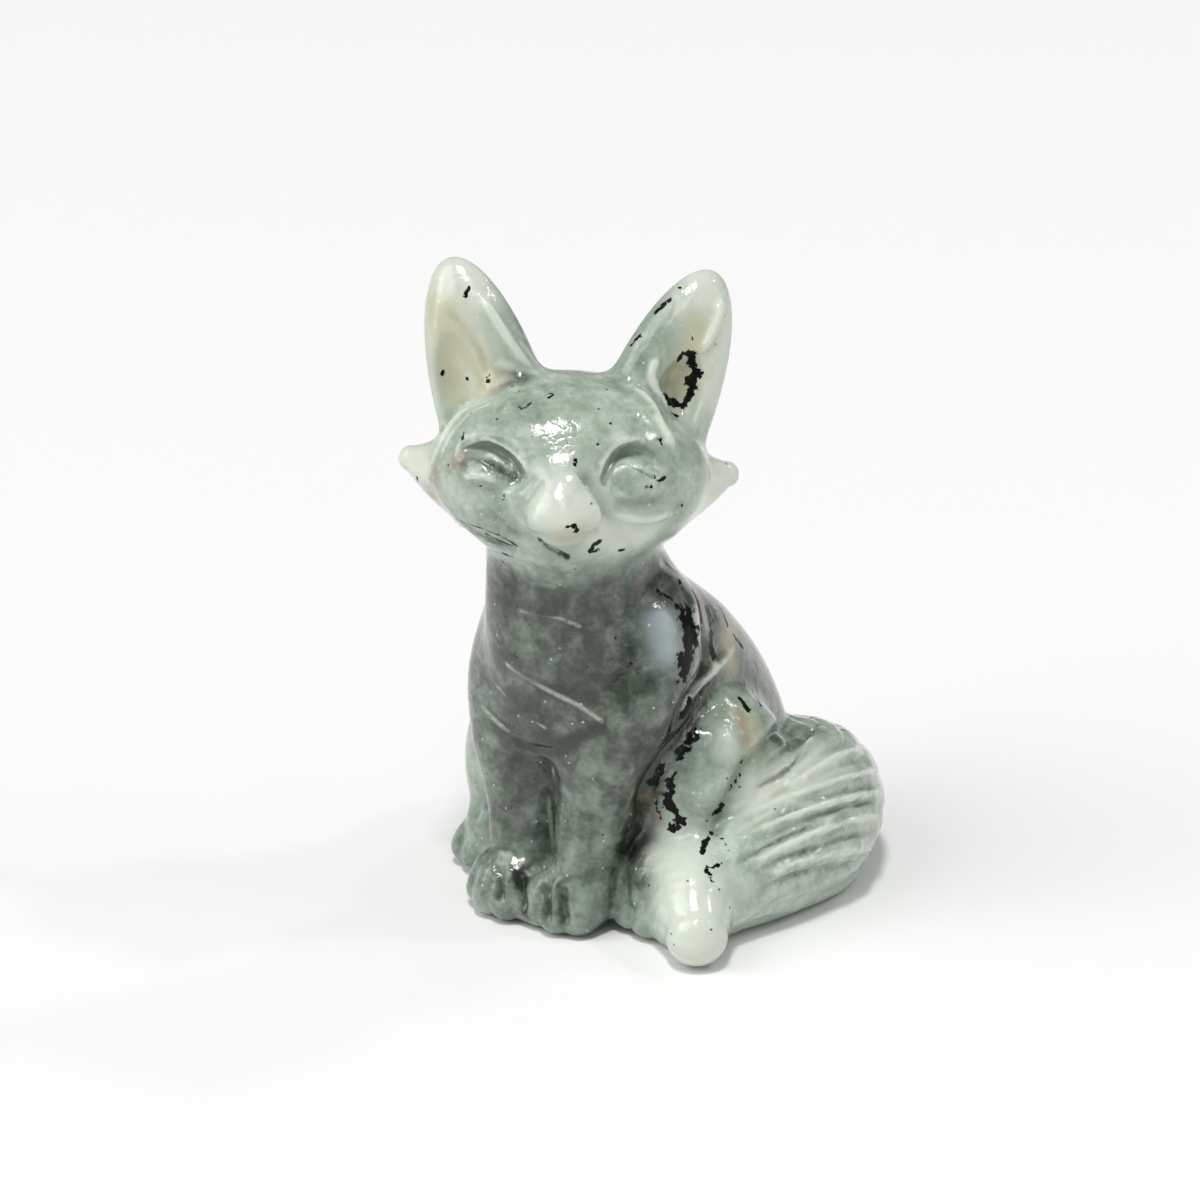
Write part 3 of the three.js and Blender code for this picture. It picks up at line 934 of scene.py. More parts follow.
class Value:
    """A socket that takes part in sums, each of which adds its Math node."""

    def __init__(self, nodes: "Nodes", socket: bpy.types.NodeSocket) -> None:
        """Wraps a socket of a tree."""
        self.nodes = nodes
        self.socket = socket

    def math(self, operation: str, *others: Any) -> "Value":
        """Returns the result of a Math node that this and the other inputs feed."""
        inputs = dict(enumerate((self, *others)))
        return self.nodes.value("ShaderNodeMath", {"operation": operation}, inputs)

    __add__ = __radd__ = operator("ADD")
    __sub__ = operator("SUBTRACT")
    __mul__ = __rmul__ = operator("MULTIPLY")
    __truediv__ = operator("DIVIDE")
    __pow__ = operator("POWER")

    def __rsub__(self, other: Any) -> "Value":
        """Returns other - self."""
        return self * -1.0 + other

    def ramp(self, start: float, end: float) -> "Value":
        """Returns a smooth ramp, 0 at start and 1 at end."""
        inputs = {"Value": self, "From Min": start, "From Max": end}
        smooth = {"interpolation_type": "SMOOTHSTEP"}
        return self.nodes.value("ShaderNodeMapRange", smooth, inputs)


class Nodes:
    """A node tree that is built up from typed nodes."""

    def __init__(self, tree: bpy.types.NodeTree) -> None:
        """Starts from an empty tree."""
        self.tree = tree
        tree.nodes.clear()

    def add(
        self, kind: str, settings: Settings | None = None, inputs: Inputs | None = None
    ) -> bpy.types.Node:
        """Adds a node.

        Args:
            kind: The node's type.
            settings: Its settings by name, which are set first.
            inputs: The values or links of its sockets, by name or number.

        Returns:
            The node.
        """
        node = self.tree.nodes.new(kind)
        for name, value in (settings or {}).items():
            setattr(node, name, value)
        for key, value in (inputs or {}).items():
            self.feed(node.inputs[key], value)
        return node

    def feed(self, socket: bpy.types.NodeSocket, value: Any) -> None:
        """Sets a socket to a value, or links it if the value is a socket."""
        if isinstance(value, Value):
            value = value.socket
        if isinstance(value, bpy.types.NodeSocket):
            self.tree.links.new(value, socket)
        else:
            socket.default_value = value

    def out(
        self, kind: str, settings: Settings | None = None, inputs: Inputs | None = None,
        output: int | str = 0,
    ) -> bpy.types.NodeSocket:
        """Adds a node and returns one of its outputs."""
        return self.add(kind, settings, inputs).outputs[output]

    def value(
        self, kind: str, settings: Settings, inputs: Inputs, output: int | str = 0
    ) -> Value:
        """Adds a node and returns one of its outputs for use in sums."""
        return Value(self, self.out(kind, settings, inputs, output))

    def attribute(self, name: str) -> Value:
        """Returns a number that is stored on the surface."""
        return self.value("ShaderNodeAttribute", {"attribute_name": name}, {}, "Fac")

    def mix(self, share: Any, first: Any, second: Any) -> Value:
        """Returns a mix of two colours, which go into the node's sockets 6 and 7."""
        inputs = {0: share, 6: first, 7: second}
        return self.value("ShaderNodeMix", {"data_type": "RGBA"}, inputs, 2)

    def bump(self, height: Value, distance: float) -> Value:
        """Returns normals over a surface whose height is given in steps of the distance."""
        return self.value("ShaderNodeBump", {}, {"Height": height, "Distance": distance})

    def store(self, geometry: Any, name: str, value: Value) -> bpy.types.NodeSocket:
        """Notes a number on each point of a geometry, under a name."""
        settings = {"data_type": "FLOAT", "domain": "POINT"}
        inputs = {"Geometry": geometry, "Name": name, "Value": value}
        return self.out("GeometryNodeStoreNamedAttribute", settings, inputs)

    def noted(self, name: str) -> Value:
        """Returns the number that a geometry's points have under a name."""
        kind = "GeometryNodeInputNamedAttribute"
        return self.value(kind, {"data_type": "FLOAT"}, {"Name": name})


@dataclass(frozen=True)
class Marks:
    """Marks of one kind on the stone, painted shade and highlights among them, as the photograph
    shows them.

    Each stroke is a line of pixels, listed under its half width in millimetres.
    """

    kind: Kind
    strokes: Mapping[float, Sequence[Path]]
    furthest: float = 9.0
    shortest: float = 0.001

    def measure(self, surface: CarvedStone, points: np.ndarray) -> np.ndarray:
        """Measures how far points are from the middle of the nearest mark.

        Args:
            surface: The stone that the pixels are found on.
            points: One row for each point.

        Returns:
            One distance for each point, as a share of the mark's half width.
        """
        distances = np.full(len(points), self.furthest, np.float32)
        for radius, paths in self.strokes.items():
            for path in paths:
                places = surface.seen_at(path)
                if len(places) == 1:
                    places = np.vstack([places, places + self.shortest])
                for start, end in zip(places, places[1:]):
                    _, way = nearest_on(points, start, end)
                    distances = np.minimum(distances, np.linalg.norm(way, axis=1) / radius)
        return distances


@dataclass(frozen=True)
class CarvedLines:
    """Lines of one kind that a burr cuts into the stone, or leaves standing if depth is negative.

    The relief shading is how much the depth changes the stone's tone: painted shade in
    the cut lines and painted light on the standing ones.
    """

    name: str
    depth: float
    width: float
    paths: Sequence[Path]
    tint: float = 1.0
    fade: float = 0.25
    spacing: float = 0.08
    smoothness: int = 6

    SIZES = ("Depth", "Width", "Tint", "Fade", "Spacing")

    def curve(self, surface: CarvedStone) -> bpy.types.Object:
        """Lays the lines on the stone.

        Args:
            surface: The stone that the pixels are found on.

        Returns:
            A curve object with one spline for each line.
        """
        data = bpy.data.curves.new(self.name, "CURVE")
        data.dimensions = "3D"
        for path in self.paths:
            places = surface.seen_at(smooth_line(path, self.smoothness))
            spline = data.splines.new("POLY")
            spline.points.add(len(places) - 1)
            for point, place in zip(spline.points, places):
                point.co = (*place, 1.0)
        return add_object(self.name, data)

    @classmethod
    def tree(cls, material: bpy.types.Material) -> bpy.types.NodeTree:
        """Builds the tool, which moves the surface near the lines in or out along its normal.

        Args:
            material: What the carving is dressed in.

        Returns:
            The tool's tree, with a named input for each of its sizes.
        """
        tree = bpy.data.node_groups.new("burr", "GeometryNodeTree")
        face = tree.interface
        face.new_socket("Geometry", in_out="INPUT", socket_type="NodeSocketGeometry")
        face.new_socket("Lines", in_out="INPUT", socket_type="NodeSocketObject")
        for name in cls.SIZES:
            face.new_socket(name, in_out="INPUT", socket_type="NodeSocketFloat")
        face.new_socket("Geometry", in_out="OUTPUT", socket_type="NodeSocketGeometry")
        nodes = Nodes(tree)
        given = nodes.add("NodeGroupInput").outputs
        depth, width, tint, fade = (Value(nodes, given[name]) for name in cls.SIZES[:4])

        lines = nodes.out("GeometryNodeObjectInfo", {}, {"Object": given["Lines"]}, "Geometry")
        points = nodes.out(
            "GeometryNodeResampleCurve",
            {"mode": "LENGTH"},
            {"Curve": lines, "Length": given["Spacing"]},
        )
        along = nodes.value("GeometryNodeSplineParameter", {}, {}, "Factor")
        ends = along.math("MINIMUM", 1.0 - along) / fade
        eased = nodes.store(points, "ease", ends.ramp(0.0, 1.0))
        wire = nodes.out("GeometryNodeCurveToMesh", {}, {"Curve": eased})

        nearest = nodes.out("GeometryNodeSampleNearest", {"domain": "POINT"}, {"Geometry": wire})
        strength = nodes.value(
            "GeometryNodeSampleIndex",
            {"data_type": "FLOAT", "domain": "POINT"},
            {"Geometry": wire, "Value": nodes.noted("ease"), "Index": nearest},
        )
        gap = nodes.value(
            "GeometryNodeProximity", {"target_element": "EDGES"}, {"Geometry": wire}, "Distance"
        )
        profile = ((gap / width) ** 2.0 * -1.0).math("EXPONENT")
        move = profile * strength * depth * -1.0
        normal = nodes.out("GeometryNodeInputNormal")
        offset = nodes.out(
            "ShaderNodeVectorMath", {"operation": "SCALE"}, {0: normal, "Scale": move}
        )
        # Notes the move, times the relief shading, for the painted shade and light of the lines.
        shaded = nodes.store(given["Geometry"], RELIEF, nodes.noted(RELIEF) + move * tint)
        moved = nodes.out("GeometryNodeSetPosition", {}, {"Geometry": shaded, "Offset": offset})
        whole = nodes.out("GeometryNodeRealizeInstances", {}, {0: moved})
        finish = {"Geometry": whole, "Material": material}
        dressed = nodes.out("GeometryNodeSetMaterial", {}, finish)
        nodes.add("NodeGroupOutput", {}, {0: dressed})
        return tree

    def engrave(
        self, stone: bpy.types.Object, tree: bpy.types.NodeTree, lines: bpy.types.Object
    ) -> None:
        """Adds the cut to the stone's modifiers.

        Args:
            stone: The carving.
            tree: The tool.
            lines: The curve object that it follows.
        """
        modifier = stone.modifiers.new(self.name, "NODES")
        modifier.node_group = tree
        inputs = (item for item in tree.interface.items_tree if item.in_out == "INPUT")
        sockets = {item.name: item.identifier for item in inputs}
        modifier[sockets["Lines"]] = lines
        for name in self.SIZES:
            modifier[sockets[name]] = getattr(self, name.lower())


@dataclass(frozen=True)
class Mask:
    """A smooth change from 0 at start to the strength at end."""

    start: float
    end: float
    strength: float = 1.0

    def over(self, value: Value) -> Value:
        """Returns the mask over a value."""
        return value.ramp(self.start, self.end) * self.strength


@dataclass(frozen=True)
class Noise:
    """A cloudy pattern through the stone, with lumps of one size and finer ones in them."""

    size: float
    detail: float
    warp: float

    def add(self, nodes: Nodes, place: bpy.types.NodeSocket) -> Value:
        """Adds the pattern.

        Args:
            nodes: The material's nodes.
            place: Where the pattern is read.

        Returns:
            The pattern, about 0.
        """
        sizes = {"Scale": 1 / (self.size * METRES), "Detail": self.detail, "Distortion": self.warp}
        return nodes.value("ShaderNodeTexNoise", {}, {"Vector": place, **sizes}, "Fac") - 0.5


@dataclass(frozen=True)
class Specks:
    """Round specks in some of the cells of a fine mesh through the stone."""

    spacing: float
    strength: float
    size: Mask = Mask(0.143, 0.077)
    chosen: Mask = Mask(0.5, 0.46)

    def add(self, nodes: Nodes, place: bpy.types.NodeSocket) -> Value:
        """Adds the specks.

        Args:
            nodes: The material's nodes.
            place: Where the specks are read.

        Returns:
            Their mask.
        """
        inputs = {"Vector": place, "Scale": 1 / (self.spacing * METRES)}
        cells = nodes.add("ShaderNodeTexVoronoi", {}, inputs)
        gap = Value(nodes, cells.outputs["Distance"]) * self.spacing
        chosen = self.chosen.over(Value(nodes, cells.outputs["Color"]))
        return self.size.over(gap) * chosen * self.strength


@dataclass(frozen=True)
class Stain:
    """What marks of one kind do to the stone, and how far its patterns make their edges ragged."""

    kind: Kind
    mask: Mask
    mottled: float = 2.4
    grained: float = 0.6
    colour: Colour | None = None

    def share(self, nodes: Nodes, patterns: Sequence[Value]) -> Value:
        """Returns how strongly the stain shows."""
        _, mottle, grain = patterns
        gap = nodes.attribute(self.kind.value) + mottle * self.mottled + grain * self.grained
        return self.mask.over(gap)


@dataclass(frozen=True)
class Stone:
    """Cloudy grey-green stone with a high polish, pale where it is thin, flecked with black.

    Its patterns are clouds, mottle and grain, and the tone changes are what these and the
    carved relief each do to its tone; the relief's change is painted shade in cut lines
    and painted light on standing ones.
    """

    name: str = "polished_stone"
    deep: Colour = (0.018, 0.026, 0.014, 1.0)
    green: Colour = (0.29, 0.36, 0.29, 1.0)
    light: Colour = (0.58, 0.66, 0.57, 1.0)
    # The stone's milky colour, also used for painted highlights.
    milky: Colour = (0.72, 0.77, 0.68, 1.0)
    black: Colour = (0.006, 0.007, 0.006, 1.0)
    patterns: Sequence[Noise] = (Noise(6.0, 5.0, 0.7), Noise(1.7, 6.0, 0.4), Noise(0.45, 4.0, 0.3))
    # Clouds, mottle, grain and relief; the relief's share is painted shade in cut lines and
    # painted light on standing ones.
    tone_changes: Sequence[float] = (0.6, 0.85, 0.35, 0.5)
    # Painted shade in creases, clefts and hollows, and darker patches of the stone, taken off the
    # tone.
    shade: Stain = Stain(Kind.SHADE_AND_DARK_TONE, Mask(2.0, 0.0, 0.4), grained=0.0)
    greening: Mask = Mask(-0.6, 0.55)
    greening_power: float = 3.0
    lightening: Mask = Mask(0.4, 1.0)
    stains: Sequence[Stain] = (
        # Milky zones of the stone, and a painted highlight on the haunch.
        Stain(Kind.PALE_AND_HIGHLIGHT, Mask(1.9, 0.1, 0.85), colour=milky),
        Stain(Kind.WARM, Mask(2.0, 0.0, 0.6), colour=(0.52, 0.48, 0.28, 1.0)),
        Stain(Kind.ROSE, Mask(2.0, 0.0, 0.5), colour=(0.30, 0.15, 0.11, 1.0)),
        # Painted sheen: a soft bluish highlight laid into the colour.
        Stain(Kind.PAINTED_SHEEN, Mask(2.3, -0.3, 0.8), colour=(0.50, 0.57, 0.61, 1.0)),
        # Light veining of the stone, and painted highlights, both in the milky colour.
        Stain(Kind.VEIN_AND_HIGHLIGHT, Mask(2.0, 0.0, 0.55), 1.5, colour=milky),
    )
    # Painted highlight: milky colour laid on the standing lines of the relief.
    ridges: Mask = Mask(0.08, 0.32, 0.75)
    ridges_mottled: float = 0.5
    glints: Specks = Specks(1.1, 0.56)
    fleck: Stain = Stain(Kind.FLECK, Mask(1.15, 0.85), 2.0, 3.2)
    scratch: Stain = Stain(Kind.SCRATCH, Mask(1.3, 0.7, 0.9), 0.0, 1.0)
    specks: Specks = Specks(1.5, 0.8)
    waviness: float = 0.08
    fine_waviness: float = 0.4
    smoothest: float = 0.04
    roughening: float = 0.2
    glow: float = 0.4
    glow_depths: Triple = (0.6, 0.6, 0.54)
    bending: float = 1.6
    black_bending: float = 1.2

    def dress(self) -> bpy.types.Material:
        """Builds the stone's material.

        Returns:
            The material.
        """
        material = bpy.data.materials.new(self.name)
        material.use_nodes = True
        nodes = Nodes(material.node_tree)
        place = nodes.out("ShaderNodeTexCoord", output="Object")
        patterns = [pattern.add(nodes, place) for pattern in self.patterns]
        _, mottle, grain = patterns
        gloss = {
            "Roughness": self.smoothest + self.roughening * mottle.math("ABSOLUTE"),
            "Normal": nodes.bump(mottle + grain * self.fine_waviness, self.waviness * METRES),
        }
        flesh = {
            "Base Color": self.colour(nodes, place, patterns),
            "Subsurface Weight": self.glow,
            "Subsurface Radius": self.glow_depths,
            "Subsurface Scale": METRES,
            "IOR": self.bending,
        }
        mineral = {"Base Color": self.black, "IOR": self.black_bending}
        kind = "ShaderNodeBsdfPrincipled"
        layers = {
            0: self.darkness(nodes, place, patterns),
            1: nodes.out(kind, {"subsurface_method": "RANDOM_WALK"}, flesh | gloss),
            2: nodes.out(kind, {}, mineral | gloss),
        }
        shader = nodes.out("ShaderNodeMixShader", {}, layers)
        nodes.add("ShaderNodeOutputMaterial", {}, {"Surface": shader})
        return material

    def colour(
        self, nodes: Nodes, place: bpy.types.NodeSocket, patterns: Sequence[Value]
    ) -> Value:
        """Mixes the stone's colour.

        Args:
            nodes: The material's nodes.
            place: Where the glints are read.
            patterns: The clouds, the mottle and the grain.

        Returns:
            The colour.
        """
        relief = nodes.attribute(RELIEF)
        tone = nodes.attribute(TONE)
        # The relief paints shade into the cut lines and light onto the standing ones.
        for pattern, change in zip((*patterns, relief), self.tone_changes):
            tone = tone + pattern * change
        # Painted shade and darker patches take tone away.
        tone = tone - self.shade.share(nodes, patterns)
        greening = self.greening.over(tone) ** self.greening_power
        colour = nodes.mix(greening, self.deep, self.green)
        colour = nodes.mix(self.lightening.over(tone), colour, self.light)
        # Stains: warm and rose colours, milky zones and veining of the stone, and painted sheen
        # and highlights.
        for stain in self.stains:
            colour = nodes.mix(stain.share(nodes, patterns), colour, stain.colour)
        # Painted highlight on the standing lines.
        ridges = self.ridges.over(relief + patterns[1] * self.ridges_mottled)
        colour = nodes.mix(ridges, colour, self.milky)
        return nodes.mix(self.glints.add(nodes, place), colour, self.milky)

    def darkness(
        self, nodes: Nodes, place: bpy.types.NodeSocket, patterns: Sequence[Value]
    ) -> Value:
        """Finds where the stone gives way to black mineral.

        Args:
            nodes: The material's nodes.
            place: Where the specks are read.
            patterns: The clouds, the mottle and the grain.

        Returns:
            The share of black mineral.
        """
        dark = self.specks.add(nodes, place)
        for stain in (self.fleck, self.scratch):
            dark = dark.math("MAXIMUM", stain.share(nodes, patterns))
        return dark


@dataclass(frozen=True)
class Tones:
    """How light the stone is in each part of the fox, from 0 for deep to 1 for light."""

    parts: Sequence[tuple[str, float]] = (
        ("torso", -0.03),
        ("legs", 0.16),
        ("paws", 0.36),
        ("thighs", 0.6),
        ("tail", 0.74),
        ("face", 0.6),
        ("ears", 0.56),
        ("tufts", 0.7),
    )
    back: tuple[float, float] = (-6.0, 4.0)
    back_lift: float = 0.16
    softness: float = 0.7
    reach: float = 9.0

    def measure(self, fox: Fox, points: np.ndarray) -> np.ndarray:
        """Mixes the tones of the parts near each point.

        Args:
            fox: The animal's volumes.
            points: One row for each point.

        Returns:
            One tone for each point.
        """
        gaps = fox.parts(points)
        weights, total = 0.0, 0.0
        for name, tone in self.parts:
            if name == "torso":
                tone = tone + self.back_lift * ramp(points[:, 1], *self.back)
            weight = np.exp(-np.clip(gaps[name], 0.0, self.reach) / self.softness)
            weights = weights + weight
            total = total + weight * tone
        return total / weights


@dataclass(frozen=True)
class Engraving:
    """Every line that the burr cuts or leaves standing, by the pixels that it follows."""

    swells: Sequence[CarvedLines] = (
        CarvedLines("haunch_swell", -0.7, 2.6, [
            [(724, 716), (720, 745), (706, 785), (688, 815)],
        ], tint=0.0),
        CarvedLines("shoulder_swell", -0.3, 2.6, [[(648, 600), (658, 632), (664, 668)]], tint=0.0),
    )
    face: Sequence[CarvedLines] = (
        CarvedLines("brow_hollows", 0.24, 0.32, [
            [(452, 470), (466, 455), (484, 447), (502, 454), (516, 468), (522, 488)],
            [(604, 494), (608, 472), (619, 455), (634, 449), (648, 452)],
        ]),
        CarvedLines("brow_ridges", -0.32, 0.24, [
            [(450, 462), (464, 445), (484, 437), (506, 445), (524, 462), (531, 486)],
            [(595, 486), (602, 462), (616, 444), (636, 439), (654, 446)],
        ]),
        CarvedLines("lid_folds", 0.25, 0.18, [
            [(476, 456), (490, 465), (505, 473), (518, 482)],
            [(489, 450), (503, 459), (514, 468), (523, 480)],
            [(618, 463), (632, 466), (646, 473), (662, 481)],
        ]),
        CarvedLines("eye_rims", -0.3, 0.22, [
            [(607, 500), (608, 486), (614, 474), (626, 467), (642, 469), (660, 477)],
            [(482, 452), (496, 460), (510, 470), (519, 478)],
        ]),
        CarvedLines("cheek_ridges", -0.4, 0.28, [
            [(608, 512), (626, 517), (650, 519), (676, 511)], [(460, 477), (478, 475), (502, 480)],
        ]),
        CarvedLines("eye_bags", 0.3, 0.5, [[(612, 500), (630, 505), (650, 503), (668, 496)]]),
        CarvedLines("muzzle_sides", 0.75, 0.6, [
            [(572, 468), (588, 480), (600, 497), (608, 516), (606, 532)],
        ]),
        CarvedLines("muzzle_edges", -0.4, 0.35, [
            [(566, 469), (582, 482), (593, 498), (600, 516), (598, 528)],
        ]),
        CarvedLines("muzzle_foot", 0.35, 0.6, [
            [(517, 520), (524, 532), (545, 538), (575, 539), (602, 533)],
        ]),
        CarvedLines("nose_sides", 0.45, 0.9, [[(541, 470), (531, 486), (523, 503), (517, 520)]]),
        CarvedLines("mouth", 0.35, 0.25, [[(535, 540), (546, 546), (558, 553), (570, 559)]]),
        CarvedLines("cheek_folds", 0.25, 0.4, [[(478, 503), (494, 516), (508, 530), (528, 540)]]),
        CarvedLines("jaw_lines", 0.1, 0.14, [
            [(434, 505), (448, 515), (464, 523), (484, 531), (508, 541)],
            [(446, 520), (462, 527), (482, 534), (505, 545)],
            [(452, 519), (472, 528), (494, 535), (515, 541)], [(470, 538), (490, 545), (512, 550)],
            [(486, 549), (502, 553), (520, 556)],
        ]),
        CarvedLines("face_rim", -0.35, 0.4, [
            [(484, 401), (468, 408), (450, 426), (438, 449), (430, 474), (427, 492)],
            [(618, 380), (648, 400), (662, 425), (675, 450), (682, 466)],
        ]),
        CarvedLines("face_rim_foot", 0.35, 0.4, [
            [(478, 397), (462, 403), (443, 424), (432, 446)],
        ]),
    )
    ears: Sequence[CarvedLines] = (
        CarvedLines("ear_ridges", -0.5, 0.33, [
            [(476, 290), (497, 322), (515, 350), (534, 374)],
            [(723, 292), (717, 320), (708, 342), (698, 358)],
            [(660, 352), (652, 372), (656, 392), (668, 412)],
        ]),
        CarvedLines("ear_folds", 0.4, 0.5, [
            [(442, 306), (454, 316), (468, 334), (480, 354), (488, 384)],
        ]),
    )
    body: Sequence[CarvedLines] = (
        CarvedLines("shoulder_crease", 0.45, 0.6, [
            [(673, 569), (696, 597), (705, 638), (704, 668), (686, 700), (673, 735), (656, 765)],
        ]),
        CarvedLines("shoulder_ridges", -0.3, 0.5, [
            [(662, 562), (684, 584), (694, 606), (697, 636), (696, 662)],
            [(734, 650), (712, 672), (694, 694), (680, 722)],
        ]),
        CarvedLines("haunch_creases", 0.6, 0.7, [
            [(706, 698), (684, 732), (660, 764), (643, 796), (647, 829)],
            [(784, 728), (765, 748), (742, 771), (725, 807), (711, 842), (707, 866)],
        ]),
        CarvedLines("bib", 0.2, 0.45, [
            [(467, 688), (487, 711), (513, 737), (536, 748), (558, 750), (578, 732), (601, 722)],
            [(478, 700), (500, 722), (530, 742)],
        ]),
        CarvedLines("toe_clefts", 0.6, 0.4, [
            [(499, 862), (499, 884), (500, 906)], [(521, 868), (521, 892), (524, 916)],
            [(546, 880), (546, 904), (547, 926)], [(562, 880), (563, 906), (566, 930)],
        ]),
    )
    tail: Sequence[CarvedLines] = (
        CarvedLines("tail_strands", 0.4, 0.26, [
            [(836, 720), (820, 724), (798, 744), (775, 760), (752, 776)],
            [(812, 742), (790, 768), (768, 783), (745, 797)],
            [(860, 738), (835, 748), (812, 765), (790, 782)],
            [(878, 758), (845, 764), (815, 778), (780, 795), (750, 812)],
            [(887, 785), (862, 789), (825, 797), (790, 804)],
            [(884, 800), (850, 806), (815, 818), (775, 834), (740, 850)],
            [(826, 822), (790, 838), (755, 855), (730, 868)],
            [(884, 830), (850, 838), (815, 850), (775, 864), (742, 882)],
            [(870, 865), (830, 868), (790, 878), (755, 895)],
        ]),
        CarvedLines("tail_ridges", -0.42, 0.24, [
            [(822, 730), (806, 748), (785, 766), (757, 784)],
            [(868, 748), (840, 756), (815, 771), (785, 788)],
            [(880, 771), (852, 777), (820, 787), (775, 804), (738, 822)],
            [(884, 792), (855, 798), (818, 808), (775, 824), (735, 842)],
            [(884, 815), (850, 822), (810, 836), (765, 858), (735, 872)],
            [(874, 848), (836, 854), (792, 866), (752, 886)],
        ]),
    )

    def lines(self) -> list[CarvedLines]:
        """Returns the lines in the order in which they are cut."""
        return [*self.swells, *self.face, *self.ears, *self.body, *self.tail]


@dataclass(frozen=True)
class Inclusions:
    """Every mark on the stone, painted shade, sheen and highlights among them, as strokes under
    their half widths in millimetres.
    """

    flecks: Marks = Marks(Kind.FLECK, {
        0.15: [
            [(679, 288)], [(671, 299), (664, 304), (655, 313)], [(641, 334), (631, 345)],
            [(714, 328)], [(724, 316)], [(692, 338)], [(480, 301), (487, 303)], [(436, 275)],
            [(455, 320), (456, 324)], [(441, 370), (441, 374)], [(463, 376), (467, 379)],
            [(487, 373), (487, 381)], [(460, 404), (465, 400)], [(549, 397), (552, 393)],
            [(607, 389)], [(575, 459), (575, 465)], [(610, 424)], [(462, 433), (462, 438)],
            [(528, 427)], [(660, 438), (663, 443)], [(655, 476), (660, 480), (665, 478)],
            [(654, 481), (652, 487)], [(647, 486)], [(684, 505)], [(692, 513)], [(480, 486)],
            [(507, 492), (503, 498)], [(592, 533), (585, 537)], [(620, 550), (625, 549)],
            [(417, 472), (416, 481)], [(516, 607)], [(583, 680)], [(631, 662)], [(588, 668)],
            [(502, 561)], [(497, 695)], [(691, 770), (691, 802)],
            [(716, 829), (723, 838), (729, 850)], [(721, 864), (716, 867)], [(747, 845)],
            [(845, 730)],
        ],
        0.16: [[(753, 690), (762, 706)]],
        0.17: [
            [(683, 352), (679, 360)], [(671, 412), (678, 416)], [(467, 288), (464, 295)],
            [(598, 444)], [(616, 637)], [(735, 636), (744, 648)],
            [(742, 773), (736, 783), (732, 792)],
        ],
        0.18: [[(716, 668), (708, 684)], [(655, 800), (660, 818)]],
        0.2: [
            [(656, 588), (670, 598), (681, 610)], [(672, 567), (684, 590)],
            [(700, 586), (718, 604), (728, 626)],
        ],
        0.22: [[(737, 753), (744, 762)], [(708, 869), (713, 881)]],
        0.24: [
            [(568, 527), (574, 526), (578, 530), (577, 535)],
            [(601, 541), (594, 545), (590, 551), (598, 550)],
        ],
        0.26: [[(741, 699), (749, 710)]],
        0.28: [[(724, 805), (717, 818), (713, 829), (708, 838), (704, 852)]],
        0.3: [[(664, 397), (672, 402), (682, 405), (690, 401)]],
        0.34: [[(708, 610), (711, 640), (714, 656)]],
        0.35: [[(703, 688), (690, 703), (684, 716)]],
        0.38: [[(692, 354), (693, 364), (698, 373), (690, 381), (694, 388), (688, 398)]],
        0.42: [[(672, 778), (673, 791), (668, 804), (675, 811)], [(683, 821), (674, 828)]],
        0.45: [[(663, 768), (655, 783)]],
        0.55: [[(694, 736), (686, 744), (680, 752)]],
        0.95: [[(687, 616), (690, 630), (689, 648), (686, 668)]],
    })
    scratches: Marks = Marks(Kind.SCRATCH, {
        0.12: [
            [(434, 506), (448, 514), (463, 522), (480, 528), (500, 536), (517, 546)],
            [(466, 530), (485, 534), (500, 541), (516, 548)],
            [(461, 532), (480, 545), (500, 553), (512, 556)], [(517, 404), (522, 409), (531, 402)],
            [(625, 452), (616, 462)], [(497, 641), (520, 660)],
        ],
        0.3: [[(537, 540), (546, 546), (557, 552), (567, 557)]],
    })
    # Milky zones of the stone; the 0.8 stroke is a painted highlight on the haunch.
    pale_and_highlight_patches: Marks = Marks(Kind.PALE_AND_HIGHLIGHT, {
        0.8: [[(726, 736), (724, 752)]],
        1.7: [[(640, 535), (600, 535), (620, 540)], [(760, 800), (830, 760)]],
        1.9: [[(462, 262), (474, 290)], [(672, 850), (690, 885)]],
        2.1: [[(408, 462), (425, 468)], [(556, 490), (545, 512), (568, 520), (590, 512)]],
        2.3: [[(728, 466), (712, 492)]],
        2.5: [[(712, 285), (720, 330), (712, 390)]],
        2.7: [[(440, 275), (447, 330), (462, 380)]],
        3.1: [[(688, 905), (700, 945)]],
    })
    warm_patches: Marks = Marks(Kind.WARM, {
        0.7: [[(560, 540), (580, 530)]],
        1.0: [[(700, 325), (694, 345)], [(745, 720), (752, 745)]],
        1.1: [[(730, 612), (728, 640), (731, 660)]],
        1.3: [[(446, 355), (455, 385)]],
        1.4: [[(436, 310), (450, 330), (462, 350), (482, 378)], [(684, 364), (682, 384)]],
    })
    rosy_patches: Marks = Marks(Kind.ROSE, {
        0.25: [[(644, 572), (638, 582)]],
        0.5: [
            [(675, 560), (695, 590), (702, 612)], [(742, 716), (742, 740)],
            [(648, 800), (660, 820)],
        ],
        0.6: [[(458, 458), (453, 464)]],
        0.9: [[(433, 474), (431, 493)]],
    })
    # Painted sheen: a bluish highlight on the shoulder.
    sheen: Marks = Marks(Kind.PAINTED_SHEEN, {
        1.2: [[(661, 624), (666, 636), (668, 648)]],
    })
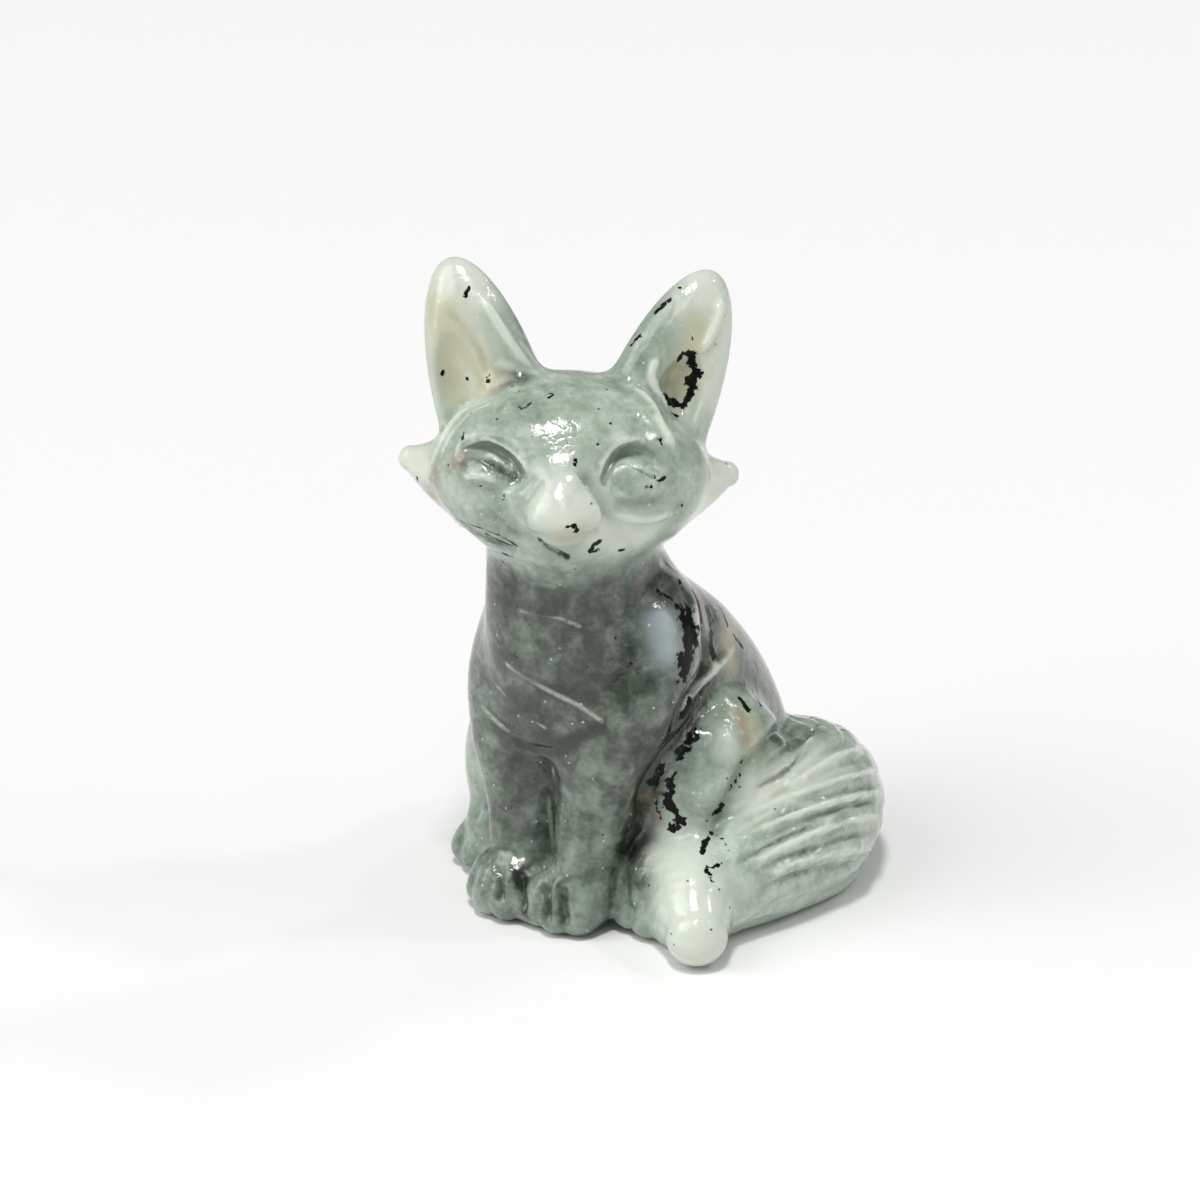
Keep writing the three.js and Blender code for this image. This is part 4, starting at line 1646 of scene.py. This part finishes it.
    # Light veining on the chest, legs, shoulder and back; painted highlights on the tail strands,
    # the left ear, the right cheek and the left face rim.
    veins_and_highlights: Marks = Marks(Kind.VEIN_AND_HIGHLIGHT, {
        0.12: [[(478, 655), (500, 690), (545, 728)]],
        0.13: [[(520, 610), (560, 618), (580, 626)]],
        0.14: [[(812, 786), (836, 781)]],
        0.16: [
            [(506, 664), (544, 688), (578, 705), (602, 721)],
            [(487, 404), (471, 411), (454, 429), (442, 450), (433, 476), (430, 490)],
            [(758, 850), (792, 838)], [(760, 786), (776, 776)], [(776, 790), (800, 780)],
            [(798, 770), (830, 757)], [(800, 818), (830, 806)],
            [(466, 688), (480, 706), (508, 733)], [(553, 770), (548, 800), (553, 846)],
        ],
        0.18: [[(610, 516), (640, 519), (672, 514)]],
        0.2: [
            [(738, 832), (755, 822), (773, 812)], [(520, 342), (536, 362)],
            [(735, 648), (712, 672), (692, 694), (680, 716)],
        ],
        0.24: [[(735, 808), (748, 801)]],
        0.28: [[(661, 562), (680, 580), (695, 604), (702, 634), (703, 668), (690, 690)]],
        0.3: [[(512, 350), (528, 366)], [(500, 362), (535, 372)]],
    })
    # Painted shade in the bib crease, the left eye's hollow, a toe cleft, the crease between
    # shoulder and haunch, under the haunch and between the legs; elsewhere these darken the left
    # cheek, the ears and the tail.
    shades_and_dark_tones: Marks = Marks(Kind.SHADE_AND_DARK_TONE, {
        0.4: [[(440, 500), (470, 530), (510, 548)]],
        0.5: [
            [(520, 744), (545, 752), (575, 740), (600, 726)], [(460, 462), (485, 458), (512, 478)],
            [(521, 870), (524, 915)], [(755, 820), (800, 812)], [(676, 372), (672, 395)],
        ],
        0.8: [[(494, 388), (520, 374)]],
        1.0: [[(800, 728), (785, 742)]],
        1.2: [[(640, 800), (636, 835)]],
        1.3: [[(703, 686), (684, 716), (662, 745), (648, 778)]],
        1.5: [[(640, 850), (640, 880)]],
    })

    def marks(self) -> list[Marks]:
        """Returns the marks of each kind."""
        return [getattr(self, field.name) for field in fields(self)]


@dataclass(frozen=True)
class CrystalFox:
    """The finished carving: its form, its lines, its marks and its stone."""

    name: str = "carved_fox"
    fox: Fox = Fox()
    view: PhotoView = PhotoView()
    stone: Stone = Stone()
    engraving: Engraving = Engraving()
    tones: Tones = Tones()
    inclusions: Inclusions = Inclusions()

    def build(self) -> bpy.types.Object:
        """Carves, marks and dresses the fox, and sets up the camera that sees it so.

        Returns:
            The finished object, at the scene's origin in metres.
        """
        surface = CarvedStone(self.fox, self.view)
        material = self.stone.dress()
        piece = surface.add_to_scene(self.name)
        tool = CarvedLines.tree(material)
        curves = []
        for lines in self.engraving.lines():
            curves.append(lines.curve(surface))
            lines.engrave(piece, tool, curves[-1])
        bpy.context.view_layer.update()
        graph = bpy.context.evaluated_depsgraph_get()
        mesh = bpy.data.meshes.new_from_object(piece.evaluated_get(graph), depsgraph=graph)
        piece.modifiers.clear()
        piece.data = mesh
        for curve in curves:
            bpy.data.objects.remove(curve)
        self.mark(mesh, surface)
        self.view.add_camera(self.place(mesh))
        mesh.materials.clear()
        mesh.materials.append(material)
        return piece

    def mark(self, mesh: bpy.types.Mesh, surface: CarvedStone) -> None:
        """Stores on each vertex its tone, and how far it is from the marks of each kind.

        Args:
            mesh: The carved mesh.
            surface: The stone that the marks are found on.
        """
        points = self.points(mesh)
        layers = {
            marks.kind.value: marks.measure(surface, points) for marks in self.inclusions.marks()
        }
        layers[TONE] = self.tones.measure(self.fox, points)
        for name, values in layers.items():
            layer = mesh.attributes.new(name, "FLOAT", "POINT")
            layer.data.foreach_set("value", values.astype(np.float32))

    @staticmethod
    def points(mesh: bpy.types.Mesh) -> np.ndarray:
        """Returns the mesh's vertices as rows."""
        flat = np.empty(3 * len(mesh.vertices), np.float32)
        mesh.vertices.foreach_get("co", flat)
        return flat.reshape(-1, 3)

    def place(self, mesh: bpy.types.Mesh) -> np.ndarray:
        """Sets the carving in the CAD solid's box, in metres.

        Args:
            mesh: The carved mesh, in millimetres.

        Returns:
            The place in the carving's own frame that now stands at the scene's origin.
        """
        points = self.points(mesh).astype(float)
        low, high = points.min(0), points.max(0)
        cad_low, cad_high = (np.array(corner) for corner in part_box(NODE))
        points = cad_low + (points - low) * (cad_high - cad_low) / (high - low)
        mesh.vertices.foreach_set("co", points.ravel())
        mesh.update()
        return (low + high) / 2 * (1.0, 1.0, 0.0)


class Lamp(Enum):
    """The kinds of light."""

    SUN = "SUN"
    PANEL = "AREA"


@dataclass(frozen=True)
class Light:
    """A soft light that looks at the fox from an azimuth and an elevation.

    A sun's width is the angle that it fills, and a panel's width and height are metres.
    """

    name: str
    lamp: Lamp
    azimuth: float
    elevation: float
    power: float
    width: float
    height: float = 0.0
    distance: float = 0.7
    target: Triple = (0.0, 0.0, 0.025)

    def add(self) -> None:
        """Adds the light to the scene."""
        data = bpy.data.lights.new(self.name, self.lamp.value)
        data.energy = self.power
        if self.lamp is Lamp.SUN:
            data.angle = math.radians(self.width)
        else:
            data.shape = "RECTANGLE"
            data.size = self.width
            data.size_y = self.height
        out = Vector(out_from(self.azimuth, self.elevation))
        spot = Matrix.Translation(Vector(self.target) + self.distance * out)
        turn = out.to_track_quat("Z", "Y").to_matrix().to_4x4()
        add_object(self.name, data).matrix_world = spot @ turn


@dataclass(frozen=True)
class Studio:
    """A white table in a light tent."""

    floor_size: float = 4.0
    paper: Colour = (0.93, 0.93, 0.925, 1.0)
    paper_roughness: float = 0.8
    tent: float = 0.24
    lights: Sequence[Light] = (
        Light("overhead", Lamp.SUN, 24.0, 72.0, 1.45, 9.0),
        Light("right_top", Lamp.SUN, 128.0, 50.0, 0.22, 4.5),
        Light("back_top", Lamp.SUN, 166.0, 48.0, 0.14, 4.0),
        Light("left_wall", Lamp.SUN, -30.0, 42.0, 1.0, 45.0),
        Light("left_panel", Lamp.PANEL, -38.0, 25.0, 0.45, 0.14, 0.5),
        Light("right_panel", Lamp.PANEL, 112.0, 25.0, 0.35, 0.14, 0.5),
        Light("left_strip", Lamp.PANEL, 34.0, 56.0, 0.08, 0.03, 0.16),
        Light("right_strip", Lamp.PANEL, 42.0, 56.0, 0.08, 0.03, 0.16),
    )

    def build(self) -> None:
        """Adds the floor, the lights and the surroundings."""
        world = bpy.data.worlds.new("studio")
        world.use_nodes = True
        nodes = Nodes(world.node_tree)
        white = {"Color": (1.0, 1.0, 1.0, 1.0), "Strength": self.tent}
        back = nodes.out("ShaderNodeBackground", {}, white)
        nodes.add("ShaderNodeOutputWorld", {}, {"Surface": back})
        bpy.context.scene.world = world
        bpy.context.scene.view_settings.view_transform = "Standard"
        self.add_floor()
        for light in self.lights:
            light.add()

    def add_floor(self) -> None:
        """Adds the table top."""
        half = self.floor_size / 2
        mesh = bpy.data.meshes.new("table_top")
        corners = [(-half, -half, 0), (half, -half, 0), (half, half, 0), (-half, half, 0)]
        mesh.from_pydata(corners, [], [(0, 1, 2, 3)])
        material = bpy.data.materials.new("white_paper")
        material.use_nodes = True
        nodes = Nodes(material.node_tree)
        finish = {"Base Color": self.paper, "Roughness": self.paper_roughness}
        paper = nodes.out("ShaderNodeBsdfPrincipled", {}, finish)
        nodes.add("ShaderNodeOutputMaterial", {}, {"Surface": paper})
        mesh.materials.append(material)
        floor = add_object("table_top", mesh)


def main() -> None:
    """Builds the studio and the fox."""
    logging.basicConfig(level=logging.INFO, format="%(message)s")
    piece = CrystalFox().build()
    log.info("%s: %d faces", piece.name, len(piece.data.polygons))
    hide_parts(NODE)
    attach(piece, BODY)
    Studio().build()
    log.info("studio: floor, lights and camera")


if __name__ == "__main__":
    main()
